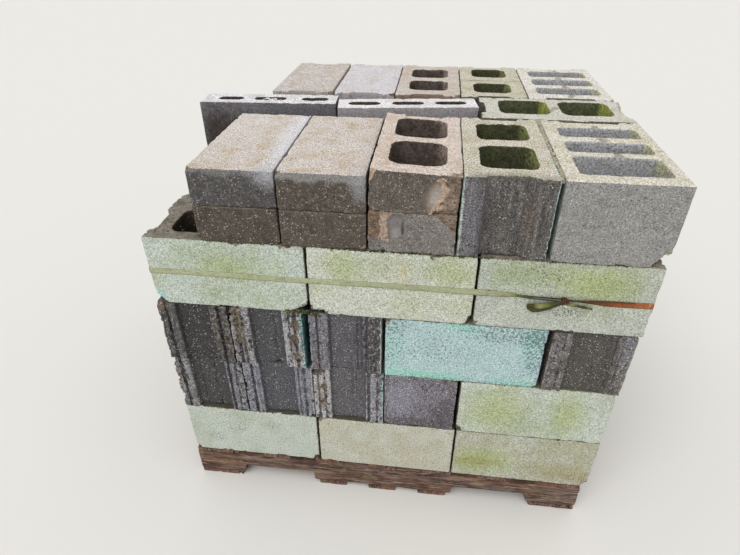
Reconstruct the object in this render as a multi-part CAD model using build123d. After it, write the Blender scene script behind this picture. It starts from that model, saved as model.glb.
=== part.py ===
"""A pallet of used concrete blocks: a notched-stringer wooden pallet, four full courses of blocks,
a loose top course of odd blocks, and one flat strap with a knot round the fourth course.

Work frame while building: X along the front from the middle of the stack, Y from the front face
of the blocks towards the back, Z up from the top of the pallet. At the end everything moves so
that the origin is the middle of the whole box's underside.
"""
import os
from math import atan, cos, degrees, radians, sin

from build123d import *

os.makedirs("parts", exist_ok=True)

# Standard two-core block: two widths and a joint long, so that blocks laid both ways lie in bond
block_width = 197.0
bond_joint = 5.0
block_length = 2 * block_width + bond_joint
block_height = 194.0
core_length = 126.0
core_width = 114.0
core_corner_radius = 24.0
web_thickness = 40.0

# Recessed block end between two ears, with one narrow groove down each ear
ear_width = 49.0
end_recess_depth = 13.0
end_recess_slope = 12.0
ear_groove_width = 7.0
ear_groove_depth = 3.5
ear_groove_from_edge = 31.0

# Half-high blocks of the top course
solid_half_wider = 2.0
solid_half_height = 92.0
cored_half_height = 96.0
cored_half_core_length = 131.0
cored_half_core_width = 128.0
cored_half_web = 44.0
old_mortar_rise = 8.0

# Thin blocks that stand on their sides
thin_block_thickness = 91.0
thin_core_length = 90.0
thin_core_width = 29.0
thin_core_pitch = 124.5
thin_left_turn = 3.6
thin_right_turn = 7.2

# Wide blocks with three slots across
wide_block_width = 244.0
slot_length = 183.0
slot_corner_radius = 22.0
slot_offset = 5.0
web_groove_width = 9.0
web_groove_depth = 4.0
front_wide_wall_1 = 42.0
front_wide_slot_1 = 96.0
front_wide_wall_2 = 34.0
front_wide_slot_2 = 58.0
front_wide_wall_3 = 47.0
front_wide_slot_3 = 59.0
back_wide_wall_1 = 62.0
back_wide_slot_1 = 55.0
back_wide_wall_2 = 51.0
back_wide_slot_2 = 57.0
back_wide_wall_3 = 50.0
back_wide_slot_3 = 61.0

# Two-core blocks of the top course with their own core sizes
ribbed_front_wall = 60.0
ribbed_front_core = 117.0
ribbed_web = 65.0
ribbed_back_core = 102.0
ribbed_core_width = 119.0
back_core_length = 113.0
back_core_width = 120.0
back_core_web = 46.0
split_core_length = 95.0
split_core_width = 112.0
split_web = 98.0
split_groove_width = 4.0
split_groove_depth = 12.0
back_row_height = 190.0
solid_back_width = 186.0

# Joints between the blocks, and how far three of the courses reach past the load's left side
stretchers_across = 3
back_ends_across = 6
row_gap = 1.0
stretcher_row_gap = 3.0
stretcher_gap = 5.2
end_gap = 2.5
back_end_gap = 4.6
course_shift_left = 3.3
narrow_block_less = 7.0
plain_to_stretcher_gap = 9.0
end_to_turquoise_gap = 9.0
turquoise_to_end_gap = 6.0

# Top course: how far its rows end inside the load's right side, and its joints
front_row_inset = 5.2
top_joint = 3.2
tilted_clearance = 0.4
top_wide_joint = 9.0
middle_stretcher_overhang = 0.3
middle_joint = 2.3
thin_left_behind = 70.5
thin_right_behind = 68.5
thin_pair_joint = 7.0
back_row_inset = 7.2
back_joint = 1.5
back_solid_joint = 7.0

# Strap and knot
strap_width = 16.0
strap_thickness = 1.2
strap_height_in_course = 92.0
knot_from_right = 199.7
knot_length = 34.0
knot_height = 27.0
knot_thickness = 15.0
knot_edge_radius = 5.0
loop_length = 78.0
loop_height = 24.0
loop_band = 5.0
loop_thickness = 6.0
loop_droop = 9.0
tail_length = 54.0
tail_height = 9.0
tail_thickness = 4.0
tail_droop = 5.0

# Pallet
pallet_length = 1200.0
pallet_depth = 1000.0
pallet_shift_left = 11.0
deck_thickness = 16.0
stringer_width = 38.0
stringer_height = 89.0
notch_length = 229.0
notch_height = 38.0
notch_from_end = 152.0
notch_corner_radius = 13.0
lead_board_width = 140.0
deck_board_width = 89.0
top_board_count = 7
bottom_middle_board_count = 3
bottom_middle_gap = 70.0

cut_margin = 10.0


def prism(points, height):
    """Upright prism on a closed outline of plan points."""
    return extrude(make_face(Polyline(*points, close=True)), amount=height, dir=(0, 0, 1))


def end_points(width, grooves):
    """Plan points up one recessed end, at x = 0 with the block on its +X side."""
    ear_points = [(0, 0)]
    if grooves:
        half = ear_groove_width / 2
        ear_points.append((0, ear_groove_from_edge - half))
        ear_points.append((ear_groove_depth, ear_groove_from_edge))
        ear_points.append((0, ear_groove_from_edge + half))
    ear_points.append((0, ear_width))
    ear_points.append((end_recess_depth, ear_width + end_recess_slope))
    mirrored = [(x, width - y) for x, y in reversed(ear_points)]
    return ear_points + mirrored


def block_outline(length, width, left_recess, right_recess, grooves):
    """Closed plan outline of a block lying along X, front left corner at the origin."""
    left = end_points(width, grooves) if left_recess else [(0, 0), (0, width)]
    right = end_points(width, grooves) if right_recess else [(0, 0), (0, width)]
    return left + [(length - x, y) for x, y in reversed(right)]


def core_cutter(x, y, length, width, height, radius):
    """Rounded upright cutter for one core, by its middle and size."""
    corner = min(radius, length / 2 - 0.1, width / 2 - 0.1)
    shape = extrude(RectangleRounded(length, width, corner), amount=height + 2 * cut_margin)
    return Pos(x, y, -cut_margin) * shape


def cored_block(length=block_length, width=block_width, height=block_height,
                cores=None, left_recess=True, right_recess=True, grooves=True):
    """Block along X with its cores given as (middle x, length, width, corner radius)."""
    if cores is None:
        cores = even_cores(length, core_length, core_width, web_thickness, core_corner_radius)
    block = prism(block_outline(length, width, left_recess, right_recess, grooves), height)
    for x, along, across, radius in cores:
        block -= core_cutter(x, width / 2, along, across, height, radius)
    return block


def even_cores(length, along, across, web, radius):
    """Two equal cores on both sides of the middle web."""
    offset = (web + along) / 2
    return [(length / 2 - offset, along, across, radius), (length / 2 + offset, along, across, radius)]


def run_of_cores(walls_and_cores, across, radius):
    """Cores one after another, each behind its own wall, from pairs of wall and core length."""
    cores = []
    start = 0.0
    for wall, along in walls_and_cores:
        cores.append((start + wall + along / 2, along, across, radius))
        start += wall + along
    return cores


def turned_end(block, width):
    """Turn a block that lies along X so that it runs from front to back, left side at x = 0."""
    return Pos(width, 0, 0) * Rot(0, 0, 90) * block


def end_facing(width=block_width, height=block_height, front_recess=True, back_recess=True,
               cores=None, grooves=True):
    """Block that runs from front to back with one end to the front."""
    block = cored_block(block_length, width, height, cores, front_recess, back_recess, grooves)
    return turned_end(block, width)


def wide_block(walls_and_slots, front_recess, height):
    """Wide block with three slots across it and a small groove in the middle of each long slot wall."""
    outline = block_outline(block_length, wide_block_width, front_recess, True, True)
    block = prism(outline, height)
    middle_y = wide_block_width / 2 - slot_offset
    for x, along, across, radius in run_of_cores(walls_and_slots, slot_length, slot_corner_radius):
        block -= core_cutter(x, middle_y, along, across, height, radius)
        groove = Box(along + 2 * web_groove_depth, web_groove_width, height + 2 * cut_margin)
        block -= Pos(x, middle_y, height / 2) * groove
    return turned_end(block, wide_block_width)


def thin_block(turn, middle_x, front_y):
    """Thin block standing on its side, three oval cores upright, turned about its middle."""
    cores = [(block_length / 2 + step * thin_core_pitch, thin_core_length, thin_core_width,
              thin_core_width / 2) for step in (-1, 0, 1)]
    block = cored_block(width=thin_block_thickness, cores=cores, left_recess=False, right_recess=False)
    block = Pos(-block_length / 2, -thin_block_thickness / 2, 0) * block
    return Pos(middle_x, front_y + thin_block_thickness / 2, 0) * Rot(0, 0, turn) * block


def course_z(course):
    """Underside of a course, the lowest being course 1."""
    return (course - 1) * block_height


def place(node, block, x, y, z):
    """Put one block in its node at a place."""
    nodes.setdefault(node, []).append(Pos(x, y, z) * block)


def stretcher_course(course, left, row_names):
    """Rows of stretchers one behind the other; those of the front row have nodes of their own."""
    block = cored_block()
    for row, row_name in enumerate(row_names):
        y = row * (block_width + stretcher_row_gap)
        for column in range(stretchers_across):
            node = f"course_{course}_{row_name}"
            if row == 0:
                node += ("_left", "_middle", "_right")[column]
            place(node, block, left + column * (block_length + stretcher_gap), y, course_z(course))


def stretcher_pair(course, x):
    """Stretcher in the front of a mixed course and the one behind it."""
    stretcher = cored_block()
    place(f"course_{course}_front_stretcher", stretcher, x, 0, course_z(course))
    place(f"course_{course}_middle_row", stretcher, x, block_width + stretcher_row_gap, course_z(course))


def mixed_course_rear(course):
    """Middle row of stretchers and back row of end-facing blocks."""
    for column in range(stretchers_across):
        x = mixed_left + column * (block_length + stretcher_gap)
        place(f"course_{course}_middle_row", cored_block(), x, middle_row_y, course_z(course))
    for column in range(back_ends_across):
        x = mixed_left + column * (block_width + back_end_gap)
        place(f"course_{course}_back_row", end_facing(), x, back_row_y, course_z(course))


def course_2():
    """Three end-facing blocks, one with a plain end and a pair of stretchers in the front row."""
    x = mixed_left
    for number in (1, 2, 3):
        place(f"course_2_front_end_{number}", end_facing(), x, 0, course_z(2))
        x += block_width + end_gap
    place("course_2_front_plain_end", end_facing(front_recess=False), x, 0, course_z(2))
    x += block_width + plain_to_stretcher_gap
    stretcher_pair(2, x)
    mixed_course_rear(2)


def course_3():
    """Three end-facing blocks, a pair of stretchers and one more end-facing block in the front row."""
    x = mixed_left
    for number, width in ((1, block_width), (2, block_width), (3, block_width - narrow_block_less)):
        place(f"course_3_front_end_{number}", end_facing(width=width), x, 0, course_z(3))
        x += width + end_gap
    x += end_to_turquoise_gap - end_gap
    stretcher_pair(3, x)
    x += block_length + turquoise_to_end_gap
    place("course_3_front_end_4", end_facing(), x, 0, course_z(3))
    mixed_course_rear(3)


def tilted_upper(block, width):
    """Upper block of the third stack, raised on its left side by the old mortar below it."""
    turn = Pos(width, 0, 0) * Rot(0, tilt_angle, 0) * Pos(-width, 0, 0)
    return turn * block


def mortar_topped(width):
    """Lower block of the third stack: its top rises to the left, where old mortar is still on it."""
    cores = even_cores(block_length, cored_half_core_length, cored_half_core_width,
                       cored_half_web, core_corner_radius)
    block = end_facing(height=cored_half_height + old_mortar_rise, front_recess=False, cores=cores,
                       grooves=False)
    side = [(0, 0), (width, 0), (width, cored_half_height), (0, cored_half_height + old_mortar_rise)]
    face = Plane.XZ * make_face(Polyline(*side, close=True))
    wedge = extrude(face, amount=block_length, dir=(0, 1, 0))
    return block & wedge


def top_front_row():
    """From the right: the wide block, the block with a ribbed front and three stacks of two."""
    z = course_z(top_course)
    x = load_right - front_row_inset - wide_block_width
    slots = ((front_wide_wall_1, front_wide_slot_1), (front_wide_wall_2, front_wide_slot_2),
             (front_wide_wall_3, front_wide_slot_3))
    place("top_wide_block", wide_block(slots, False, block_height), x, 0, z)
    x -= top_wide_joint + block_width
    cores = run_of_cores(((ribbed_front_wall, ribbed_front_core), (ribbed_web, ribbed_back_core)),
                         ribbed_core_width, core_corner_radius)
    place("top_ribbed_block", end_facing(cores=cores), x, 0, z)
    lean = cored_half_height * sin(radians(tilt_angle))
    x -= tilted_clearance + lean + block_width
    cores = even_cores(block_length, cored_half_core_length, cored_half_core_width,
                       cored_half_web, core_corner_radius)
    upper = end_facing(height=cored_half_height, front_recess=False, cores=cores, grooves=False)
    place("top_stack_3_lower", mortar_topped(block_width), x, 0, z)
    place("top_stack_3_upper", tilted_upper(upper, block_width), x, 0, z + cored_half_height)
    width = block_width + solid_half_wider
    solid = end_facing(width=width, height=solid_half_height, front_recess=False,
                       back_recess=False, cores=[], grooves=False)
    for number in (2, 1):
        x -= top_joint + width
        place(f"top_stack_{number}_lower", solid, x, 0, z)
        place(f"top_stack_{number}_upper", solid, x, 0, z + solid_half_height)


def top_middle_row():
    """One stretcher at the right, and two thin blocks on their sides to the left of it."""
    z = course_z(top_course)
    stretcher_x = load_right + middle_stretcher_overhang - block_length
    place("top_middle_stretcher", cored_block(height=back_row_height), stretcher_x, middle_row_y, z)
    turn = radians(thin_right_turn)
    half_reach = (cos(turn) * block_length + sin(turn) * thin_block_thickness) / 2
    right_x = stretcher_x - middle_joint - half_reach
    left_x = right_x - block_length - thin_pair_joint
    thin_right = thin_block(thin_right_turn, right_x, block_length + thin_right_behind)
    thin_left = thin_block(thin_left_turn, left_x, block_length + thin_left_behind)
    place("top_thin_block_right", thin_right, 0, 0, z)
    place("top_thin_block_left", thin_left, 0, 0, z)


def split_block():
    """Two-core block with a shallow groove across its thick web, where it is meant to be split."""
    cores = even_cores(block_length, split_core_length, split_core_width, split_web, core_corner_radius)
    block = end_facing(height=back_row_height, cores=cores)
    groove = Box(split_core_width, split_groove_width, 2 * split_groove_depth)
    return block - Pos(block_width / 2, block_length / 2, back_row_height) * groove


def top_back_row():
    """From the right: a wide block, the split block, a two-core block and two solid blocks."""
    cores = even_cores(block_length, back_core_length, back_core_width, back_core_web, core_corner_radius)
    solid = end_facing(width=solid_back_width, height=back_row_height, cores=[])
    slots = ((back_wide_wall_1, back_wide_slot_1), (back_wide_wall_2, back_wide_slot_2),
             (back_wide_wall_3, back_wide_slot_3))
    row = (
        ("wide", wide_block(slots, True, back_row_height), wide_block_width, 0),
        ("split", split_block(), block_width, back_joint),
        ("cored", end_facing(height=back_row_height, cores=cores), block_width, back_joint),
        ("solid_2", solid, solid_back_width, back_joint),
        ("solid_1", solid, solid_back_width, back_solid_joint),
    )
    x = load_right - back_row_inset
    for name, block, width, joint in row:
        x -= joint + width
        place(f"top_back_{name}", block, x, back_row_y, course_z(top_course))


def strap_and_knot():
    """Flat strap tight round the fourth course, and its knot with a loop and a tail."""
    across = load_right - load_left
    inner = Rectangle(across, strapped_depth)
    outer = RectangleRounded(across + 2 * strap_thickness, strapped_depth + 2 * strap_thickness,
                             strap_thickness / 2)
    band = extrude(outer - inner, amount=strap_width)
    strap_z = course_z(strapped_course) + strap_height_in_course
    nodes["strap"] = [Pos((load_left + load_right) / 2, strapped_depth / 2, strap_z) * band]
    knot_x = load_right - knot_from_right
    face_y = -strap_thickness
    lump = Box(knot_length, knot_thickness, knot_height)
    lump = fillet(lump.edges(), knot_edge_radius)
    knot_z = strap_z + strap_width / 2
    knot = Pos(knot_x, face_y - knot_thickness / 2, knot_z) * lump
    ring = SlotOverall(loop_length, loop_height) - SlotOverall(loop_length - 2 * loop_band,
                                                              loop_height - 2 * loop_band)
    loop = extrude(Plane.XZ * ring, amount=loop_thickness)
    loop_x = knot_x - knot_length / 2 - loop_length / 2 + 2 * loop_band
    knot += Pos(loop_x, face_y, knot_z - loop_droop) * loop
    tail = Box(tail_length, tail_thickness, tail_height)
    tail_x = knot_x + knot_length / 2 + tail_length / 2 - loop_band
    knot += Pos(tail_x, face_y - tail_thickness / 2, knot_z - tail_droop) * tail
    nodes["strap_knot"] = [knot]


def stringer():
    """Stringer along X with two notches in its underside, left end at x = 0, underside at z = 0."""
    board = Pos(pallet_length / 2, stringer_width / 2, stringer_height / 2) * Box(
        pallet_length, stringer_width, stringer_height)
    cutter = extrude(Plane.XZ * RectangleRounded(notch_length, 2 * notch_height, notch_corner_radius),
                     amount=stringer_width + 2 * cut_margin)
    for x in (notch_from_end + notch_length / 2, pallet_length - notch_from_end - notch_length / 2):
        board -= Pos(x, stringer_width + cut_margin, 0) * cutter
    return board


def deck_board(width):
    """Deck board from front to back, left side at x = 0, underside at z = 0."""
    return Pos(width / 2, pallet_depth / 2, deck_thickness / 2) * Box(width, pallet_depth, deck_thickness)


def top_board_places():
    """Left side and width of each top deck board, wide boards at both ends."""
    widths = [lead_board_width] + [deck_board_width] * (top_board_count - 2) + [lead_board_width]
    gap = (pallet_length - sum(widths)) / (top_board_count - 1)
    places = []
    x = 0.0
    for width in widths:
        places.append((x, width))
        x += width + gap
    return places


def bottom_board_places():
    """Left side and width of each bottom deck board: one at each end, the rest between the notches."""
    pitch = deck_board_width + bottom_middle_gap
    first = (pallet_length - (bottom_middle_board_count - 1) * pitch - deck_board_width) / 2
    places = [(0.0, lead_board_width)]
    places += [(first + index * pitch, deck_board_width) for index in range(bottom_middle_board_count)]
    places.append((pallet_length - lead_board_width, lead_board_width))
    return places


def pallet():
    """Three stringers between the top and bottom deck boards."""
    left = (load_left + load_right) / 2 - pallet_shift_left - pallet_length / 2
    stringer_z = -deck_thickness - stringer_height
    middle_y = (pallet_depth - stringer_width) / 2
    for name, y in (("front", 0.0), ("middle", middle_y), ("back", 2 * middle_y)):
        place(f"stringer_{name}", stringer(), left, y, stringer_z)
    for number, (x, width) in enumerate(top_board_places(), 1):
        place(f"top_deck_board_{number}", deck_board(width), left + x, 0, -deck_thickness)
    for number, (x, width) in enumerate(bottom_board_places(), 1):
        place(f"bottom_deck_board_{number}", deck_board(width), left + x, 0, stringer_z - deck_thickness)


# Derived places: the load's sides, its rows and the slope of the tilted block
lowest_course = 1
strapped_course = 4
top_course = 5
lowest_rows = ("front", "middle_rows", "middle_rows", "middle_rows", "back_row")
strapped_rows = ("front", "second_row", "middle_rows", "middle_rows", "back_row")
load_right = (stretchers_across * (block_length + stretcher_gap) - stretcher_gap) / 2
load_left = -load_right
mixed_left = load_left - course_shift_left
middle_row_y = max(block_length, 2 * block_width + stretcher_row_gap) + row_gap
back_row_y = middle_row_y + block_width + row_gap
strapped_depth = len(strapped_rows) * (block_width + stretcher_row_gap) - stretcher_row_gap
tilt_angle = degrees(atan(old_mortar_rise / block_width))

nodes = {}
pallet()
stretcher_course(lowest_course, mixed_left, lowest_rows)
course_2()
course_3()
stretcher_course(strapped_course, load_left, strapped_rows)
top_front_row()
top_middle_row()
top_back_row()
strap_and_knot()

boxes = [solid.bounding_box() for solids in nodes.values() for solid in solids]
low = [min(getattr(box.min, axis) for box in boxes) for axis in "XYZ"]
high = [max(getattr(box.max, axis) for box in boxes) for axis in "XYZ"]
to_origin = Pos(-(low[0] + high[0]) / 2, -(low[1] + high[1]) / 2, -low[2])

for name, solids in nodes.items():
    placed = [to_origin * solid for solid in solids]
    shape = placed[0] if len(placed) == 1 else Compound(children=placed)
    export_step(shape, f"parts/{name}.step")

print("nodes", len(nodes), "pieces", sum(len(solids) for solids in nodes.values()))
print("low corner", low, "high corner", high, "moved by", to_origin.position)
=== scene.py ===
"""Looks of the pallet of concrete blocks: worn and chipped blocks, paint, moss, strap and split wood."""
import math
from statistics import NormalDist

import bpy
import numpy as np
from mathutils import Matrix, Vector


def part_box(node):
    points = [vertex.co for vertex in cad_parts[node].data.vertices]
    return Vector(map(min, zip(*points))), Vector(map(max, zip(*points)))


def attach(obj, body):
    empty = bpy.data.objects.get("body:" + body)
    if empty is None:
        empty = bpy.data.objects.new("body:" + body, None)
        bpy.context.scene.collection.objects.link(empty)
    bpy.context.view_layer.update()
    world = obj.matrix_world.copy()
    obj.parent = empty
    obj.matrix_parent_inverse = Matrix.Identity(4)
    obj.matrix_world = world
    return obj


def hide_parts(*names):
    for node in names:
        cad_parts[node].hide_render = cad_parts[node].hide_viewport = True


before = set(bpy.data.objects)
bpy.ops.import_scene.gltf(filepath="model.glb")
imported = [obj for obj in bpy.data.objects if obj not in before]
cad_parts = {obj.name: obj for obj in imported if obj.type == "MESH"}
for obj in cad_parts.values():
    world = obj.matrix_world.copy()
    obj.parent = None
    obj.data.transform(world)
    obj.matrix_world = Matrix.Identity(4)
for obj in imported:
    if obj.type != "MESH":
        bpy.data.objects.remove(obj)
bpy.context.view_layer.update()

MM = 0.001
CAMERA_PLACE = (0.08445, -1.5267, 1.5266)
CAMERA_TURN = (56.03, 0.13, 6.99)
CAMERA_LENS = 25.77
CAMERA_SENSOR = 36.0

# The blocks' own measures in mm: x to the right from the middle of the load, y back from the front, z up from
# the pallet
BLOCK_LENGTH, BLOCK_WIDTH, BLOCK_HEIGHT = 399.0, 197.0, 194.0
EAR_WIDTH, RECESS_DEPTH, RECESS_SLOPE = 48.0, 14.0, 6.0
LOAD_LEFT = -603.7
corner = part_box("course_4_front_left")[0]
SHIFT = np.array([corner.x / MM - LOAD_LEFT, corner.y / MM, corner.z / MM - 3 * BLOCK_HEIGHT])

# Lengths in mm from the low and the high side of x, y and z along which a block's mesh is fine
ALL = 999
NEAR_FRONT = ((ALL, 0), (30, 0), (ALL, 0))
NEAR_FRONT_TOP = ((ALL, 0), (ALL, 0), (ALL, 0))
NEAR_TOP = ((ALL, 0), (ALL, 0), (0, 20))
NEAR_RIM = ((0, 0), (0, 0), (0, 16))

# What the faces of a block show, as places in its list of materials
SKIN, CORE_WALL, BROKEN, PAINTED = 0, 1, 2, 3
# A face is a core's wall or broken when it lies this near to one in mm, and not on a block's own side when it
# lies this far in
CORE_REACH, CHIP_REACH, FAR_IN = 4, 2.5, 0.8
# An outline's corner wears when it turns by at least this sine, and wear reaches this far from an edge in mm
SHARP_TURN, WEAR_REACH = 0.3, 7.0
# Edges sharper than this are shaded hard; each block's tone is its seed times the golden part, less the whole
# number
SHARP_ANGLE = math.radians(38)
GOLDEN_PART = 0.6180339887
FULL_TURN = 6.283

# Fronts of the blocks in mm from their middle, how far a texture's noise strays from 0.5, and how wide the
# wood's grain is drawn as a part of its length
STRETCHER_FRONT, END_ON_FRONT = -98, -199
NOISE_SPREAD = 0.1
GRAIN_STRETCH = 0.07
stone = {}


def soft_noise(ticks, wave, rng):
    """Smooth noise from about -1 to 1 on a grid of ticks, its bumps wave mm apart along each axis."""
    waves = wave if isinstance(wave, tuple) else (wave,) * 3
    counts = [int((t[-1] - t[0]) / w) + 3 for t, w in zip(ticks, waves)]
    values = rng.uniform(-1, 1, counts).astype(np.float32)
    for axis, (t, w) in enumerate(zip(ticks, waves)):
        place = (t - t[0]) / w + 0.5
        index = place.astype(int)
        part = (place - index).astype(np.float32)
        part = part * part * (3 - 2 * part)
        shape = [1, 1, 1]
        shape[axis] = -1
        part = part.reshape(shape)
        values = np.take(values, index, axis) * (1 - part) + np.take(values, index + 1, axis) * part
    return values * 1.5


def plan_distance(X, Y, outline):
    """Distance in plan to a closed outline, negative inside."""
    best = np.full(X.shape, 1e9)
    inside = np.zeros(X.shape, bool)
    for (ax, ay), (bx, by) in zip(outline, outline[1:] + outline[:1]):
        ex, ey = bx - ax, by - ay
        t = np.clip(((X - ax) * ex + (Y - ay) * ey) / (ex * ex + ey * ey), 0, 1)
        best = np.minimum(best, np.hypot(X - ax - t * ex, Y - ay - t * ey))
        if ay != by:
            inside ^= ((ay > Y) != (by > Y)) & (X < ax + (Y - ay) / (by - ay) * ex)
    return np.where(inside, -best, best)


def core_distance(X, Y, core):
    """Distance in plan to a core's rounded opening, negative in the opening."""
    x, y, half_x, half_y, radius = core
    qx, qy = np.abs(X - x) - (half_x - radius), np.abs(Y - y) - (half_y - radius)
    return np.hypot(np.maximum(qx, 0), np.maximum(qy, 0)) + np.minimum(np.maximum(qx, qy), 0) - radius


def chip_distance(X, Y, Z, chip):
    """Distance to what a chip takes away, negative in it. A chip is a ball (middle, half sizes, raggedness),
    or what lies past a plane (point, direction, raggedness) or under a facet (outline, depth and lean,
    raggedness)."""
    if chip[0] == "plane":
        (px, py, pz), (nx, ny, nz) = chip[1:3]
        length = math.sqrt(nx * nx + ny * ny + nz * nz)
        return -((X - px) * nx + (Y - py) * ny + (Z - pz) * nz) / length
    if chip[0] == "facet":
        deep, lean_x, lean_z = chip[2]
        return np.maximum(plan_distance(X + 0 * Z, Z + 0 * X, list(chip[1])),
                          Y - deep - lean_x * X - lean_z * Z)
    px, py, pz, rx, ry, rz = chip[:6]
    return (np.sqrt(((X - px) / rx) ** 2 + ((Y - py) / ry) ** 2 + ((Z - pz) / rz) ** 2) - 1) * min(rx, ry, rz)


def ticks_along(length, fine, coarse, fine_low, fine_high):
    """Grid positions past both ends of a length, close together near the seen ends, closest at their rims."""
    places = [-fine, -fine / 2] if fine_low else [-coarse, -coarse / 2]
    end = length + (fine if fine_low > length or fine_high else coarse)
    while places[-1] < end:
        x = places[-1]
        near = (fine_low and x < fine_low) or (fine_high and x > length - fine_high - coarse)
        rim = near and ((fine_low and x < 2.4 * fine) or x > length - 3 * fine)
        places.append(x + (fine / 2 if rim else fine if near else coarse))
    return np.array(places, float)


def surface_of(field, ticks):
    """Closed mesh where the field changes sign, one corner in each cell that the surface crosses."""
    shape = tuple(n - 1 for n in field.shape)
    solid = field < 0
    cells, places, rings = [], [], []
    for axis in range(3):
        near = tuple(slice(None, -1) if other == axis else slice(None) for other in range(3))
        far = tuple(slice(1, None) if other == axis else slice(None) for other in range(3))
        at = np.argwhere(solid[near] != solid[far])
        low, high = field[near][tuple(at.T)], field[far][tuple(at.T)]
        place = np.stack([ticks[other][at[:, other]] for other in range(3)], 1).astype(float)
        step = ticks[axis][at[:, axis] + 1] - place[:, axis]
        place[:, axis] += low / (low - high) * step
        one, two = [other for other in range(3) if other != axis]
        ring = []
        for back_one, back_two in ((0, 0), (1, 0), (1, 1), (0, 1)):
            cell = at.copy()
            cell[:, one] -= back_one
            cell[:, two] -= back_two
            ring.append(np.ravel_multi_index(tuple(cell.T), shape))
        ring = np.stack(ring, 1)
        cells.append(ring.ravel())
        places.append(np.repeat(place, 4, 0))
        turned = (low < 0) == (axis == 1)
        ring[turned] = ring[turned][:, ::-1]
        rings.append(ring)
    cells, places, rings = np.concatenate(cells), np.concatenate(places), np.concatenate(rings)
    used, number = np.unique(cells, return_inverse=True)
    count = np.bincount(number)
    points = np.stack([np.bincount(number, places[:, axis]) / count for axis in range(3)], 1)
    return points, np.searchsorted(used, rings)


def mesh_from(name, points, corners):
    """Mesh from points and faces that all have the same number of corners."""
    mesh = bpy.data.meshes.new(name)
    mesh.vertices.add(len(points))
    mesh.vertices.foreach_set("co", np.asarray(points, np.float32).ravel())
    mesh.loops.add(corners.size)
    mesh.loops.foreach_set("vertex_index", corners.ravel().astype(np.int32))
    mesh.polygons.add(len(corners))
    mesh.polygons.foreach_set("loop_start", np.arange(0, corners.size, corners.shape[1], dtype=np.int32))
    return mesh


def put_in_scene(name, data):
    """New object that stands at the origin with this data."""
    made = bpy.data.objects.new(name, data)
    bpy.context.scene.collection.objects.link(made)
    return made


def evaluated_mesh(holder, guide):
    """Plain mesh of an object with its modifier, which is removed with the object and its guide mesh."""
    made = bpy.data.meshes.new_from_object(holder.evaluated_get(bpy.context.evaluated_depsgraph_get()))
    bpy.data.objects.remove(holder)
    bpy.data.meshes.remove(guide)
    return made


def thinned(points, faces, triangles):
    """The same surface with about that many triangles, few where it is flat."""
    mesh = mesh_from("rough", points, faces)
    mesh.update(calc_edges=True)
    holder = put_in_scene("rough", mesh)
    holder.modifiers.new("thin", "DECIMATE").ratio = min(1.0, triangles / (2 * len(faces)))
    done = evaluated_mesh(holder, mesh)
    done.calc_loop_triangles()
    points = np.empty(len(done.vertices) * 3, np.float32)
    done.vertices.foreach_get("co", points)
    corners = np.empty(len(done.loop_triangles) * 3, np.int32)
    done.loop_triangles.foreach_get("vertices", corners)
    bpy.data.meshes.remove(done)
    return points.reshape(-1, 3), corners.reshape(-1, 3)


def end_profile(width, grooves=((26, 8, 6),), ear=EAR_WIDTH, far_grooves=None, lines=()):
    """Depth of a recessed block end across its width: two ears with grooves, the recess, fine lines."""
    def ear_points(size, cuts):
        points = [(0, 0)]
        for middle, wide, deep in cuts:
            points += [(middle - wide / 2, 0), (middle - wide / 5, deep), (middle + wide / 5, deep),
                       (middle + wide / 2, 0)]
        return points + [(size, 0), (size + RECESS_SLOPE, RECESS_DEPTH)]
    near = ear_points(ear, grooves)
    far = ear_points(ear, grooves if far_grooves is None else far_grooves)
    across = [(x + part, RECESS_DEPTH + deep) for x in lines for part, deep in ((-2.5, 0), (0, 4), (2.5, 0))]
    return near + across + [(width - x, y) for x, y in reversed(far)]


def plan_outline(size, ends):
    """Closed plan outline from the profiles of the recessed sides: front and back, or left and right."""
    width, depth = size[:2]
    front = [(x, d) for x, d in ends.get("front", [(0, 0), (width, 0)])]
    back = [(x, depth - d) for x, d in ends.get("back", [(0, 0), (width, 0)])]
    left = [(d, y) for y, d in ends.get("left", [(0, 0), (depth, 0)])]
    right = [(width - d, y) for y, d in ends.get("right", [(0, 0), (depth, 0)])]
    ring = front + right[1:-1] + back[::-1] + left[1:-1][::-1]
    return [(float(x), float(y)) for x, y in ring]


def sharp_corners(outline):
    """The outline's outward corners, where blocks wear most."""
    found = []
    for (ax, ay), (bx, by), (cx, cy) in zip(outline[-1:] + outline[:-1], outline, outline[1:] + outline[:1]):
        cross = (bx - ax) * (cy - by) - (by - ay) * (cx - bx)
        size = math.hypot(bx - ax, by - ay) * math.hypot(cx - bx, cy - by)
        if size and cross / size > SHARP_TURN:
            found.append((bx, by))
    return found


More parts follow.
